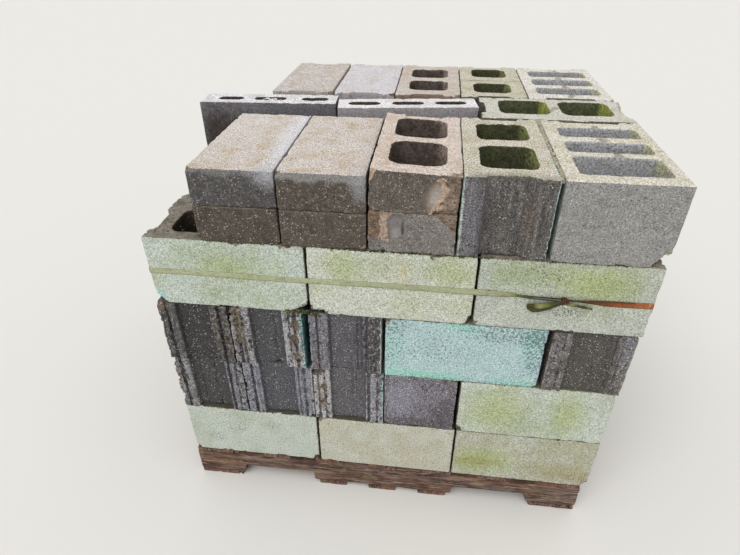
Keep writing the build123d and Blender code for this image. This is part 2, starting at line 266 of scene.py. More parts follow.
def block_shape(size, ends=None, cores=(), chips=(), seed=1, wear=3.0, rough=0.7, radius=1.6, fine=4.0,
                coarse=8.0, top_slope=0.0, triangles=9000, near=NEAR_RIM, lumps=(), outline=None,
                pits=(0, 0, 0), waves=(34.0, 11.0, 5.5)):
    """One worn block, its left front bottom corner at the origin, as points and triangles in mm: crumbled
    edges, grit, pits in its ears (depth, width at the left and right), chips and lumps. It is cut from a grid
    with fine steps near the sides that near says and coarse ones elsewhere; waves are the sizes of its
    unevenness."""
    rng = np.random.default_rng(seed)
    outline = outline or plan_outline(size, ends or {})
    steps = fine if isinstance(fine, tuple) else (fine,) * 3
    ticks = [ticks_along(size[axis], steps[axis], coarse, *near[axis]) for axis in range(3)]
    X, Y = np.meshgrid(ticks[0], ticks[1], indexing="ij")
    plan = plan_distance(X, Y, outline)
    calm = np.ones(X.shape)
    for core in cores:
        inner = -core_distance(X, Y, core)
        calm = np.where(inner > plan, 0.3, calm)
        plan = np.maximum(plan, inner)
    tip = np.min([np.hypot(X - x, Y - y) for x, y in sharp_corners(outline)], 0)
    a = plan[:, :, None].astype(np.float32)
    XX, YY = X[:, :, None], Y[:, :, None]
    Z = ticks[2][None, None, :].astype(np.float32)
    b = np.maximum(-Z, Z - (size[2] - top_slope * XX / size[0])).astype(np.float32)
    slow, quick, grit = [soft_noise(ticks, wave, rng) for wave in waves]
    round_by = radius * (1 + 0.35 * slow)
    outside = np.hypot(np.maximum(a + round_by, 0), np.maximum(b + round_by, 0))
    field = np.minimum(np.maximum(a, b) + round_by, 0) + outside - round_by
    rim = np.sqrt(a * a + b * b)
    edge = np.exp(-(rim / WEAR_REACH) ** 2) + np.exp(-(tip[:, :, None] / WEAR_REACH) ** 2)
    crumble = np.clip(0.5 * slow + 0.5 * quick, 0, None) ** 2 * calm[:, :, None]
    field = field + np.minimum(edge, 1.2) * (0.06 * wear + wear * crumble)
    field = field + rough * (0.4 + 0.45 * quick + 0.75 * grit) + 0.25 * slow
    field = np.maximum(field, np.maximum(a, b))
    if pits[0]:
        eroded = ((XX < pits[1]) | (XX > size[0] - pits[2])) & (YY < 24)
        field = field + eroded * pits[0] * np.clip(2.4 * (0.35 * quick + 0.9 * grit) - 0.9, 0, 1)
    for chip in chips:
        jag = chip[-1] * (0.8 * quick + 0.5 * grit + 0.6 * slow)
        field = np.maximum(field, -(chip_distance(XX, YY, Z, chip) + jag))
    for lump in lumps:
        field = np.minimum(field, chip_distance(XX, YY, Z, lump) + lump[-1] * (0.8 * quick + 0.5 * grit))
    for axis in range(3):
        for face in (0, -1):
            np.moveaxis(field, axis, 0)[face] = 5.0
    points, corners = thinned(*surface_of(field, ticks), triangles)
    return np.clip(points, 0.0, size), corners


def face_kinds(points, corners, size, cores, chips, painted, paint_side):
    """What each face shows: the block's skin, a core's wall, broken concrete, or a finish of its own."""
    sides = points[corners]
    middle = sides.mean(1)
    normal = np.cross(sides[:, 1] - sides[:, 0], sides[:, 2] - sides[:, 0])
    normal /= np.linalg.norm(normal, axis=1)[:, None] + 1e-9
    kinds = np.full(len(corners), SKIN)
    x, y, z = middle.T
    for core in cores:
        near = np.abs(core_distance(x, y, core)) < CORE_REACH
        kinds[near & (np.abs(normal[:, 2]) < 0.7) & (z < size[2] - 1.2)] = CORE_WALL
    inside = np.min([x, size[0] - x, y, size[1] - y, z, size[2] - z], 0) > FAR_IN
    for number, chip in enumerate(chips):
        struck = (np.abs(chip_distance(x, y, z, chip)) < CHIP_REACH + 1.2 * chip[-1]) & inside
        kinds[struck & (kinds != CORE_WALL)] = painted.get(number, BROKEN)
    if paint_side:
        kinds[(x > size[0] - paint_side) & (normal[:, 0] > 0.15)] = PAINTED
    return kinds


def add_block(node, at, size, cores=(), chips=(), painted=None, paint_side=0, yaw=0.0, tilt=0.0, turned=False,
              shape=None, seed=1, **more):
    """Shapes a block, or takes a ready shape, and puts it at its place in the mesh of its node; painted gives
    some chips another finish, and paint_side is how far the right side's paint reaches in."""
    points, corners = shape or block_shape(size, cores=cores, chips=chips, seed=seed, **more)
    kinds = face_kinds(points, corners, size, cores, chips, painted or {}, paint_side)
    half = np.array(size) / 2
    local = points - half
    if turned:
        points = points * (-1, -1, 1) + (size[0], size[1], 0)
    if yaw:
        turn = np.array(((math.cos(yaw), math.sin(yaw), 0), (-math.sin(yaw), math.cos(yaw), 0), (0, 0, 1)))
        points = (points - half) @ turn + half
    if tilt:
        back = points[:, 0] - size[0]
        points = np.stack((size[0] + back * math.cos(tilt) + points[:, 2] * math.sin(tilt), points[:, 1],
                           points[:, 2] * math.cos(tilt) - back * math.sin(tilt)), 1)
    stone.setdefault(node, []).append((points + at, corners, kinds, local, half, seed * GOLDEN_PART % 1.0))


def mesh_object(name, points, corners, materials, kinds=None, smooth=True):
    """Mesh object at the origin from points in metres and faces."""
    mesh = mesh_from(name, points, corners)
    for material in materials:
        mesh.materials.append(material)
    if kinds is not None:
        mesh.polygons.foreach_set("material_index", np.minimum(kinds, len(materials) - 1).astype(np.int32))
    mesh.polygons.foreach_set("use_smooth", np.full(len(corners), smooth))
    mesh.update(calc_edges=True)
    if smooth:
        mesh.set_sharp_from_angle(angle=SHARP_ANGLE)
    return put_in_scene(name, mesh)


def stone_piece(node, materials):
    """The worn blocks of one node as one piece, with what materials read: place, half size and tone."""
    points, corners, kinds, local, half, tone = zip(*stone[node])
    counts = [len(part) for part in points]
    starts = np.cumsum([0] + counts[:-1])
    piece = mesh_object("worn_" + node, (np.concatenate(points) + SHIFT) * MM,
                        np.concatenate([part + start for part, start in zip(corners, starts)]), materials,
                        np.concatenate(kinds))
    for name, kind, field, values in (
            ("local", "FLOAT_VECTOR", "vector", np.concatenate(local) * MM),
            ("half", "FLOAT_VECTOR", "vector", np.repeat(half, counts, 0) * MM),
            ("tone", "FLOAT", "value", np.repeat(tone, counts))):
        attribute = piece.data.attributes.new(name, kind, "POINT")
        attribute.data.foreach_set(field, np.asarray(values, np.float32).ravel())
    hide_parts(node)
    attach(piece, "root")


def paint(hex_text):
    """Linear colour from an sRGB hex value."""
    parts = [int(hex_text[i:i + 2], 16) / 255 for i in (1, 3, 5)]
    return tuple(c / 12.92 if c <= 0.04045 else ((c + 0.055) / 1.055) ** 2.4 for c in parts) + (1.0,)


def add(tree, kind, inputs=None, **settings):
    """New node of one kind, its settings made and its sockets given a value, a hex colour, a link or a node,
    whose first output is taken."""
    node = tree.nodes.new(kind if "Node" in kind else "ShaderNode" + kind)
    for name, value in settings.items():
        setattr(node, name, value)
    for socket, value in (inputs or {}).items():
        value = value.outputs[0] if isinstance(value, bpy.types.Node) else value
        if isinstance(value, bpy.types.NodeSocket):
            tree.links.new(value, node.inputs[socket])
        else:
            is_colour = isinstance(value, str) and value.startswith("#")
            node.inputs[socket].default_value = paint(value) if is_colour else value
    return node


def new_material(name):
    """Material with an empty node tree."""
    material = bpy.data.materials.new(name)
    material.use_nodes = True
    material.node_tree.nodes.clear()
    return material, material.node_tree


def own_place(tree):
    """Place on the piece in metres, moved a different way for every block so that no two look alike."""
    tone = add(tree, "Attribute", attribute_name="tone").outputs["Fac"]
    coords = add(tree, "TexCoord").outputs["Object"]
    return add(tree, "VectorMath", {0: tone, 1: (3.1, 1.7, 2.3), 2: coords}, operation="MULTIPLY_ADD")


def blend_by(tree, mask, under, over, amount=1.0):
    """Lays a colour over another as far as a mask says, and limits the mask to its amount."""
    part = add(tree, "Math", {0: mask, 1: amount}, operation="MULTIPLY")
    return add(tree, "Mix", {0: part, 6: under, 7: over}, data_type="RGBA").outputs[2]


def patches(tree, place, under, over, size, cover, soft, amount=1.0, stretch=(1, 1, 1)):
    """Lays a colour over another in patches about size mm wide; cover is their share."""
    moved = add(tree, "VectorMath", {0: place, 1: stretch}, operation="MULTIPLY")
    noise = add(tree, "TexNoise", {"Vector": moved, "Scale": 1 / (size * MM), "Detail": 5.0,
                                   "Roughness": 0.62})
    middle = 0.5 + NOISE_SPREAD * NormalDist().inv_cdf(1 - cover)
    mask = add(tree, "MapRange", {"Value": noise, "From Min": middle - soft, "From Max": middle + soft},
               interpolation_type="SMOOTHSTEP")
    return blend_by(tree, mask, under, over, amount)


def specks(tree, place, under, over, size, share, amount):
    """Scatters spots about size mm wide of a colour over another, in that share of the cells of a random net,
    which are 1.7 times as wide."""
    net = add(tree, "TexVoronoi", {"Vector": place, "Scale": 1 / (1.7 * size * MM)})
    spot = add(tree, "MapRange", {"Value": net, "From Min": 0.5, "From Max": 0.22},
               interpolation_type="SMOOTHSTEP")
    chance = add(tree, "SeparateXYZ", {0: net.outputs["Color"]})
    picked = add(tree, "Math", {0: chance, 1: share}, operation="LESS_THAN")
    mask = add(tree, "Math", {0: spot, 1: picked}, operation="MULTIPLY")
    return blend_by(tree, mask, under, over, amount)


def layered(tree, place, colour, *layers):
    """Lays colours one over the other; each layer is patches or specks, its colour and what that is told."""
    for lay, over, *told in layers:
        colour = lay(tree, place, colour, over, *told)
    return colour


def worn_edges(tree, place, reach, jag):
    """Mask that is 1 along a block's edges and fades within reach mm of them, with a ragged limit."""
    local, half = [add(tree, "Attribute", attribute_name=name).outputs["Vector"]
                   for name in ("local", "half")]
    size = add(tree, "VectorMath", {0: local}, operation="ABSOLUTE")
    room = add(tree, "VectorMath", {0: half, 1: size}, operation="SUBTRACT")
    x, y, z = add(tree, "SeparateXYZ", {0: room}).outputs
    less = add(tree, "Math", {0: x, 1: y}, operation="MINIMUM")
    more = add(tree, "Math", {0: x, 1: y}, operation="MAXIMUM")
    other = add(tree, "Math", {0: more, 1: z}, operation="MINIMUM")
    middle = add(tree, "Math", {0: less, 1: other}, operation="MAXIMUM")
    noise = add(tree, "TexNoise", {"Vector": place, "Scale": 1 / (16 * MM), "Detail": 4.0})
    uneven = add(tree, "Math", {0: noise, 1: -jag * MM * 2, 2: middle}, operation="MULTIPLY_ADD")
    return add(tree, "MapRange", {"Value": uneven, "From Min": (reach - jag) * MM, "From Max": -jag * MM},
               interpolation_type="SMOOTHSTEP")


def block_axes(tree):
    """The three parts of the place in the block, in metres from its middle."""
    local = add(tree, "Attribute", attribute_name="local").outputs["Vector"]
    return add(tree, "SeparateXYZ", {0: local}).outputs


def local_mask(tree, axis, low, high):
    """Mask that rises from 0 to 1 between two places in mm along one axis of the block, from its middle."""
    return add(tree, "MapRange", {"Value": block_axes(tree)[axis], "From Min": low * MM,
                                  "From Max": high * MM}, interpolation_type="SMOOTHSTEP")


def facing(tree, axis, low, high):
    """Mask that rises where the surface turns towards an axis, from the low to the high part of the way."""
    parts = add(tree, "SeparateXYZ", {0: add(tree, "NewGeometry").outputs["Normal"]})
    return add(tree, "MapRange", {"Value": parts.outputs[axis], "From Min": low, "From Max": high},
               interpolation_type="SMOOTHSTEP")


def blot_distance(tree, centre, reach):
    """Distance from a blot's centre in parts of its reach, both in mm from the middle of the block."""
    local = add(tree, "Attribute", attribute_name="local").outputs["Vector"]
    offset = add(tree, "VectorMath", {0: local, 1: tuple(c * MM for c in centre)}, operation="SUBTRACT")
    scaled = add(tree, "VectorMath", {0: offset, 1: tuple(1 / (r * MM) for r in reach)}, operation="MULTIPLY")
    return add(tree, "VectorMath", {0: scaled}, operation="LENGTH").outputs["Value"]


def stain(tree, place, under, over, centre, reach, amount, soft):
    """Lays a colour in one ragged blot."""
    noise = add(tree, "TexNoise", {"Vector": place, "Scale": 1 / (14 * MM), "Detail": 4.0})
    ragged = add(tree, "Math", {0: noise, 1: 1.6, 2: blot_distance(tree, centre, reach)},
                 operation="MULTIPLY_ADD")
    mask = add(tree, "MapRange", {"Value": ragged, "From Min": 1.8 + soft, "From Max": 1.8 - soft},
               interpolation_type="SMOOTHSTEP")
    return blend_by(tree, mask, under, over, amount)


def front_blots(tree, place, colour, blots, front, deep, soft):
    """Lays blots on a front face at that y, each a colour, x, z, half width, half height and strength."""
    for over, x, z, wide, high, amount in blots:
        colour = stain(tree, place, colour, over, (x, front, z), (wide, deep, high), amount, soft)
    return colour


def grain(tree, place, colour, size, amount):
    """Makes a colour lighter and darker from grain to grain; real grit is finer, this size just shows."""
    fine = add(tree, "TexNoise", {"Vector": place, "Scale": 1 / (size * MM), "Detail": 2.0, "Roughness": 0.8})
    light = add(tree, "MapRange", {"Value": fine, "From Min": 0.32, "From Max": 0.68, "To Min": 1 - amount,
                                   "To Max": 1 + amount})
    return add(tree, "VectorMath", {0: colour, "Scale": light}, operation="SCALE")


def rough_surface(tree, place, colour, grit, depth, roughness=0.92, stretch=(1, 1, 1)):
    """Ends a material: a matt rough surface with grit of about that many mm standing depth mm out."""
    moved = add(tree, "VectorMath", {0: place, 1: stretch}, operation="MULTIPLY")
    noise = add(tree, "TexNoise", {"Vector": moved, "Scale": 1 / (grit * MM), "Detail": 5.0,
                                   "Roughness": 0.7})
    relief = add(tree, "Bump", {"Height": noise, "Distance": depth * MM * 3, "Strength": 1.0})
    skin = add(tree, "BsdfPrincipled", {"Base Color": colour, "Roughness": roughness,
                                        "Specular IOR Level": 0.25, "Normal": relief})
    add(tree, "OutputMaterial", {0: skin})


def bare_concrete(name, ear, recess, light, dark, brown=0.15, right_ear=None, blots=()):
    """Cast concrete, shaken down in a steel mould and left unpainted: a dull gritty grey, darker in the
    recess of the end with damp stains and painted shade, and paler where its ears have worn."""
    material, tree = new_material(name)
    place = own_place(tree)
    colour = blend_by(tree, local_mask(tree, 0, -8, 8), ear, right_ear) if right_ear else ear
    colour = layered(tree, place, colour, (patches, dark, 14, 0.30, 0.07, 0.6, (1, 1, 0.4)),
                     (patches, "#6b5a4c", 26, brown, 0.06, 0.6, (1, 1, 0.3)),
                     (patches, light, 9, 0.32, 0.07, 0.6, (1, 1, 0.7)))
    colour = blend_by(tree, worn_edges(tree, place, 6, 5), colour, light, 0.6)
    # The recess of each end is laid in the recess colour with dark patches: damp stains together with painted
    # shade
    front, back = [add(tree, "Math", {0: local_mask(tree, 1, side * 198, side * 193.5),
                                      1: local_mask(tree, 1, side * 150, side * 180)}, operation="MULTIPLY")
                   for side in (-1, 1)]
    deep = add(tree, "Math", {0: front, 1: back}, operation="ADD")
    damp = patches(tree, place, recess, dark, 18, 0.35, 0.09, 0.35, (1, 1, 0.3))
    colour = blend_by(tree, deep, colour, damp, 0.95)
    # Faces in the recess that turn away from the front, on the step and in the grooves, get more painted
    # shade
    turned = add(tree, "Math", {0: facing(tree, 1, -0.93, -0.7), 1: deep}, operation="MULTIPLY")
    colour = blend_by(tree, turned, colour, dark, 0.6)
    colour = front_blots(tree, place, colour, blots, END_ON_FRONT, 30, 0.35)
    colour = layered(tree, place, colour, (specks, "#dad7d4", 2.4, 0.12, 0.65),
                     (specks, "#201e1d", 2.8, 0.2, 0.6))
    rough_surface(tree, place, grain(tree, place, colour, 3.4, 0.85), 4.5, 1.2)
    return material


def cracks(tree, place, colour, x, z, wide, high, size):
    """Draws the fine dark net of hair cracks in one blot of a painted face."""
    net = add(tree, "TexVoronoi", {"Vector": place, "Scale": 1 / (size * MM)}, feature="DISTANCE_TO_EDGE")
    line = add(tree, "MapRange", {"Value": net, "From Min": 0.05, "From Max": 0.015, "To Max": 0.8})
    dark = blend_by(tree, line, colour, "#4e4d40")
    return stain(tree, place, colour, dark, (x, STRETCHER_FRONT, z), (wide, 40, high), 1.0, 0.5)


def painted_concrete(name, coat, algae, share, blots=(), chalk="#d2d6cb", cracked=(), pitted=(), ledge=None,
                     side=False):
    """Old masonry paint brushed on cast concrete: matt and chalky, worn off at the edges, green with algae,
    pitted by the rough cast. The paint is on the front alone, unless it is for a side."""
    material, tree = new_material(name)
    place = own_place(tree)
    colour = layered(tree, place, coat, (patches, chalk, 45, 0.4, 0.12, 0.35),
                     (patches, algae, 110, share, 0.09, 0.55))
    colour = front_blots(tree, place, colour, blots, STRETCHER_FRONT, 40, 0.75)
    colour = layered(tree, place, colour, (patches, "#dfe2d8", 6, 0.22, 0.09, 0.22),
                     (specks, "#62654f", 2.6, 0.1, 0.55), (specks, "#33342a", 2.2, 0.04, 0.75))
    for crack in cracked:
        colour = cracks(tree, place, colour, *crack)
    for x, z, wide, high, pits in pitted:
        holes = specks(tree, place, colour, "#3d433e", 3.0, pits, 0.9)
        colour = stain(tree, place, colour, holes, (x, STRETCHER_FRONT, z), (wide, 40, high), 1.0, 0.6)
    colour = blend_by(tree, worn_edges(tree, place, 3, 4), colour, "#96907f", 0.5)
    if not side:
        cast = layered(tree, place, "#827b70", (patches, "#a0978a", 20, 0.4, 0.1, 0.7),
                       (patches, "#5d5a42", 28, 0.18, 0.07, 0.6), (specks, "#3a352c", 4.0, 0.2, 0.6))
        # Faces that look up take the ledge colour: dirt and moss together with painted shade from the course
        # above
        if ledge:
            cast = blend_by(tree, facing(tree, 2, 0.2, 0.7), cast, ledge, 0.85)
        colour = blend_by(tree, facing(tree, 1, -0.45, -0.2), colour, cast)
        colour = blend_by(tree, local_mask(tree, 1, -92, -84), colour, cast)
    rough_surface(tree, place, grain(tree, place, colour, 3.2, 0.46), 4.5, 0.9)
    return material


def turquoise_paint():
    """Turquoise masonry paint on rough concrete: pale and matt, brighter where thick, pitted to the grey."""
    material, tree = new_material("worn_turquoise_paint")
    place = own_place(tree)
    colour = patches(tree, place, "#b2cdcd", "#c3d9d8", 40, 0.4, 0.12, 0.6)
    colour = front_blots(tree, place, colour, [("#93d2bc", *thick) for thick in (
        (-2, 88, 42, 12, 0.6), (-130, -84, 75, 16, 0.55), (-60, -88, 70, 15, 0.6), (150, -92, 62, 14, 0.7),
        (165, 60, 20, 50, 0.4), (-180, -10, 18, 80, 0.2))], STRETCHER_FRONT, 30, 0.7)
    pits = 0.12
    for x, z, wide, high, amount in ((-185, 20, 44, 95, 0.22), (-165, 80, 60, 30, 0.2),
                                     (100, 74, 100, 34, 0.42), (180, 20, 34, 95, 0.4), (-60, 10, 80, 60, 0.2),
                                     (0, -95, 210, 8, 0.3)):
        far = blot_distance(tree, (x, STRETCHER_FRONT, z), (wide, 40, high))
        near = add(tree, "MapRange", {"Value": far, "From Min": 1.3, "From Max": 0.5, "To Max": amount})
        pits = add(tree, "Math", {0: pits, 1: near}, operation="ADD")
    noise = add(tree, "TexNoise", {"Vector": place, "Scale": 1 / (7 * MM), "Detail": 3.0, "Roughness": 0.7})
    lot = add(tree, "Math", {0: pits, 1: 0.28, 2: noise}, operation="MULTIPLY_ADD")
    pitted = add(tree, "MapRange", {"Value": lot, "From Min": 0.63, "From Max": 0.69},
                 interpolation_type="SMOOTHSTEP")
    grey = patches(tree, place, "#6c8384", "#4a5a5c", 8, 0.4, 0.08)
    colour = blend_by(tree, pitted, colour, grey, 0.8)
    colour = layered(tree, place, colour, (specks, "#5b7273", 2.6, 0.2, 0.6),
                     (specks, "#e2eeec", 3.2, 0.2, 0.5))
    colour = blend_by(tree, worn_edges(tree, place, 3, 4), colour, "#5e6a68", 0.6)
    cast = patches(tree, place, "#77726a", "#9a9384", 20, 0.4, 0.1)
    colour = blend_by(tree, facing(tree, 1, -0.45, -0.2), colour, cast)
    rough_surface(tree, place, grain(tree, place, colour, 4.0, 0.45), 5.0, 1.1)
    return material


def slab_concrete(name, top, front, light, dark, tan="#c7b294", pale="#dedad6", band=None, blots=(),
                  front_grain=0.55, edge=0.3, streaks=1.0, band_amount=0.6, blot_soft=0.7):
    """Cast concrete long in the sun and rain: bleached and chalky on top, dark and dirty down its sides, its
    edges pale. A band is the colour that its sides have above a height in mm from the block's middle."""
    material, tree = new_material(name)
    place = own_place(tree)
    side = layered(tree, place, front, (patches, dark, 26, 0.3, 0.10, 0.45, (1, 1, streaks)),
                   (patches, light, 8, 0.26, 0.08, 0.4, (1, 1, streaks)), (specks, "#d6cfc7", 2.3, 0.12, 0.6),
                   (specks, "#262220", 2.8, 0.14, 0.5))
    if band:
        noise = add(tree, "TexNoise", {"Vector": place, "Scale": 1 / (22 * MM), "Detail": 4.0})
        drip = add(tree, "Math", {0: noise, 1: 40 * MM, 2: block_axes(tree)[2]}, operation="MULTIPLY_ADD")
        high = add(tree, "MapRange", {"Value": drip, "From Min": band[1] * MM,
                                      "From Max": (band[1] + 14) * MM}, interpolation_type="SMOOTHSTEP")
        side = blend_by(tree, high, side, band[0], band_amount)
    side = blend_by(tree, worn_edges(tree, place, 4, 4), side, light, edge)
    upper = layered(tree, place, top, (patches, tan, 55, 0.35, 0.10, 0.6),
                    (patches, pale, 38, 0.30, 0.09, 0.55), (patches, "#9b8b7a", 7, 0.18, 0.06, 0.45),
                    (specks, "#6d6156", 2.6, 0.12, 0.55))
    colour = blend_by(tree, facing(tree, 2, 0.45, 0.8), side, upper)
    for blot in blots:
        colour = stain(tree, place, colour, *blot, blot_soft)
    rough_surface(tree, place, grain(tree, place, colour, 3.4, front_grain), 4.5, 1.1)
    return material


def core_concrete(name, wall, moss, share, lit="#9a9c58", lit_share=0.5, lit_from=(20, 90), damp=0.5):
    """Inside of a core, as the mould left it: damp dark concrete with moss, brightest on the wall that gets
    the light from the left."""
    material, tree = new_material(name)
    place = own_place(tree)
    colour = layered(tree, place, wall, (patches, "#2d2a22", 20, 0.35, 0.1, damp),
                     (patches, moss, 26, share, 0.10, 0.8))
    bright = add(tree, "Math", {0: facing(tree, 0, -0.2, -0.85), 1: local_mask(tree, 2, *lit_from)},
                 operation="MULTIPLY")
    colour = blend_by(tree, bright, colour, patches(tree, place, colour, lit, 14, lit_share, 0.10, 0.9))
    rough_surface(tree, place, grain(tree, place, colour, 5.0, 0.6), 5.0, 1.5)
    return material


def broken_concrete(name, face, light, dark, contrast=0.7, blots=()):
    """Where a piece was knocked off: coarse stones in a paler, sandy mortar."""
    material, tree = new_material(name)
    place = own_place(tree)
    colour = layered(tree, place, face, (patches, light, 12, 0.4, 0.08, contrast),
                     (patches, dark, 9, 0.25, 0.06, contrast, (0.6, 1, 1.6)),
                     (specks, "#2c2926", 3.0, 0.10, contrast))
    colour = front_blots(tree, place, colour, blots, -196, 60, 0.6)
    rough_surface(tree, place, grain(tree, place, colour, 4.0, 0.5 * contrast), 5.0, 2.0)
    return material


def old_wood(name, along, board_colour, light, dark):
    """Sawn softwood left outside: dull grey-brown with fine grain along the board, dark cracks and dirt."""
    material, tree = new_material(name)
    place = own_place(tree)
    stretch = tuple(GRAIN_STRETCH if axis == along else 1.0 for axis in range(3))
    colour = layered(tree, place, board_colour, (patches, light, 9, 0.42, 0.08, 0.7, stretch),
                     (patches, dark, 6, 0.34, 0.05, 0.85, stretch), (patches, dark, 70, 0.35, 0.1, 0.5),
                     (patches, "#8c5f4a", 60, 0.4, 0.08, 0.5, stretch),
                     (patches, "#c4a796", 5, 0.12, 0.04, 0.6, stretch),
                     (patches, "#8f8a5d", 40, 0.12, 0.06, 0.4))
    rough_surface(tree, place, colour, 3.0, 1.0, 0.88, stretch)
    return material


# A block is length, width and height; its cores are middle x, middle y, half sizes in x and y, and corner
# radius; its chips are balls, planes and facets as chip_distance has them. All are in mm from the block's
# left front lower corner
STRETCHER = (BLOCK_LENGTH, BLOCK_WIDTH, BLOCK_HEIGHT)
STRETCHER_CORES = ((116.5, 98.5, 63, 57, 24), (282.5, 98.5, 63, 57, 24))
END_ON = (BLOCK_WIDTH, BLOCK_LENGTH, BLOCK_HEIGHT)
END_ON_CORES = ((98.5, 116.5, 57, 63, 24), (98.5, 282.5, 57, 63, 24))
EAR_STEP = (2.5, 3.0, 4.0)
plain_end = end_profile(BLOCK_WIDTH)
both_ends = {"left": plain_end, "right": plain_end}
front_and_back = {"front": plain_end, "back": plain_end}


def base_of(course):
    """Height of a course's underside above the pallet in mm."""
    return (course - 1) * BLOCK_HEIGHT


def stretcher(node, x, course, seed, wear, triangles, chips, length=BLOCK_LENGTH, near=NEAR_FRONT, **more):
    """One block laid along the front of the load."""
    add_block(node, (x, 0, base_of(course)), (length, BLOCK_WIDTH, BLOCK_HEIGHT), STRETCHER_CORES, chips,
              ends=both_ends, seed=seed, wear=wear, triangles=triangles, near=near, **more)


def end_on_block(node, at, course, seed, grooves, far_grooves, lines=(), width=BLOCK_WIDTH, ear=EAR_WIDTH,
                 front=None, **more):
    """One block with a recessed end to the front; grooves are (middle, width, depth) from its own edge."""
    cores = tuple((width / 2, y, width / 2 - 41.5, 63, 24) for y in (116.5, 282.5))
    front = front or end_profile(width, grooves, ear, far_grooves, lines)
    add_block(node, (*at, base_of(course)), (width, BLOCK_LENGTH, BLOCK_HEIGHT), cores, seed=seed,
              near=NEAR_FRONT, fine=EAR_STEP, triangles=17000,
              ends={"front": front, "back": end_profile(width)}, **more)


stretcher("course_4_front_left", -603.7, 4, 11, 2.2, 19000, (
    ("plane", (0, 0, 34), (-1.0, -0.3, -0.77), 4), ("plane", (352, 0, 0), (0.55, -0.1, -0.83), 4),
    (356, -4, 196, 9, 12, 7, 4), (243, -3, 196, 12, 8, 5, 3), (188, -3, -2, 16, 8, 5, 3)),
    near=((ALL, 0), (200, 0), (ALL, 0)), painted={0: PAINTED})
stretcher("course_4_front_middle", -199.5, 4, 12, 2.2, 15000, (
    (22, 0, -4, 24, 20, 17, 3), (0, 0, 0, 9, 16, 22, 4), (399, 0, 0, 10, 16, 18, 4),
    (301, -4, 197, 18, 12, 8, 4), (122, -3, 196, 10, 8, 5, 3)))
stretcher("course_4_front_right", 204.7, 4, 13, 1.2, 17000, (
    (0, 0, 0, 7, 12, 14, 4), (214, -3, -1, 14, 8, 5, 3)), length=400.2)
stretcher("course_1_front_left", -607, 1, 14, 3.2, 13000, (
    (399, 0, 0, 14, 14, 18, 5), (0, 0, 0, 8, 12, 12, 4)))
stretcher("course_1_front_middle", -202.8, 1, 15, 2.8, 13000, ((0, 0, 194, 14, 12, 12, 5),))
stretcher("course_1_front_right", 201.4, 1, 16, 3.6, 13000, ((399, 0, 0, 14, 16, 18, 6),))
stretcher("course_2_front_stretcher", 197.5, 2, 17, 2.6, 13000, ((0, 0, 0, 10, 12, 16, 4),))
stretcher("course_3_front_stretcher", -9, 3, 18, 2.4, 15000, (
    (0, 0, 194, 7, 10, 8, 4), (399, 0, 0, 9, 12, 8, 4)))

end_on_block("course_3_front_end_1", (-610.7, -2.5), 3, 21, ((24, 8, 7),), ((25, 10, 8),), width=189,
             wear=2.0, rough=0.8, pits=(3.5, 26, 50), chips=(("plane", (0, 0, 191.5), (0, -1, 1), 1.5),),
             painted={0: SKIN})
end_on_block("course_3_front_end_2", (-419.8, 0), 3, 22, ((19, 11, 7), (33, 6, 4)), ((22, 9, 6), (37, 5, 3)),
             (118,), ear=54, wear=4.6, rough=1.3, paint_side=9, pits=(5, 52, 50), chips=(
                 (0, 0, 194, 13, 14, 11, 5), (20, 0, 172, 8, 9, 9, 3), (17, 0, 148, 7, 9, 12, 3),
                 (24, 0, 118, 9, 8, 8, 3), (18, 0, 84, 8, 8, 14, 3), (176, 0, 150, 6, 8, 12, 3),
                 (170, 0, 96, 7, 8, 12, 3), (177, 0, 40, 6, 7, 9, 3)))
end_on_block("course_3_front_end_3", (-208, 0), 3, 23, ((22, 6, 6),), ((38, 8, 6), (14, 5, 3)), (126,), 190,
             50, wear=3.0, rough=0.8, paint_side=4.5, pits=(3, 30, 0))
# Its right ear was struck off while soft, so that the recess runs out to the right in faint ribs, and it
# stands this far out of the wall
STANDS_OUT = 6.0
ribs = [(0, 0), (12, 0), (15, 3), (18, 0), (28, 0), (31, 4), (35, 0), (48, 0), (54, 14), (112, 13), (132, 10),
        (135, 12), (138, 9), (148, 6), (151, 9), (154, 5), (166, 2), (169, 5), (172, 1), (197, 0)]
end_on_block("course_3_front_end_4", (400.5, -STANDS_OUT), 3, 24, (), (), front=ribs, wear=1.6, rough=0.7,
             paint_side=2.0, pits=(3, 40, 0), painted={0: SKIN},
             chips=(("plane", (0, 0, BLOCK_HEIGHT - STANDS_OUT), (0, -1, 1), 1.5),))
end_on_block("course_2_front_end_1", (-610.4, 0), 2, 25, ((21, 10, 6),), ((39, 8, 7), (20, 5, 3)), (72, 115),
             200.4, wear=4.6, rough=1.5, pits=(4.5, 40, 20), chips=(
                 (-5, 0, 118, 10, 30, 17, 5), (-4, 0, 40, 9, 30, 24, 5), (-3, 0, 186, 10, 20, 14, 4)))
end_on_block("course_2_front_end_2", (-407.5, 0), 2, 26, ((26, 8, 7), (40, 4, 3)), ((22, 5, 4), (38, 5, 4)),
             wear=3.4, rough=0.8, paint_side=4.0, pits=(3, 30, 30))
end_on_block("course_2_front_end_3", (-208, 0), 2, 27, ((15, 7, 5), (33, 7, 4)), ((41, 8, 7), (17, 5, 4)),
             (112, 120), wear=4.2, rough=1.1, paint_side=5.0, pits=(4.5, 46, 20), chips=(
                 (8, 0, 194, 18, 16, 13, 6), (30, 0, 128, 7, 7, 9, 3), (26, 0, 66, 6, 7, 10, 3)))
add_block("course_2_front_plain_end", (-8.5, 0, base_of(2)), END_ON, END_ON_CORES, seed=28, near=NEAR_FRONT,
          triangles=13000, ends={"back": plain_end}, wear=3.6, rough=0.9,
          chips=((0, 0, 0, 12, 14, 12, 5), (197, 0, 194, 10, 14, 10, 5)))

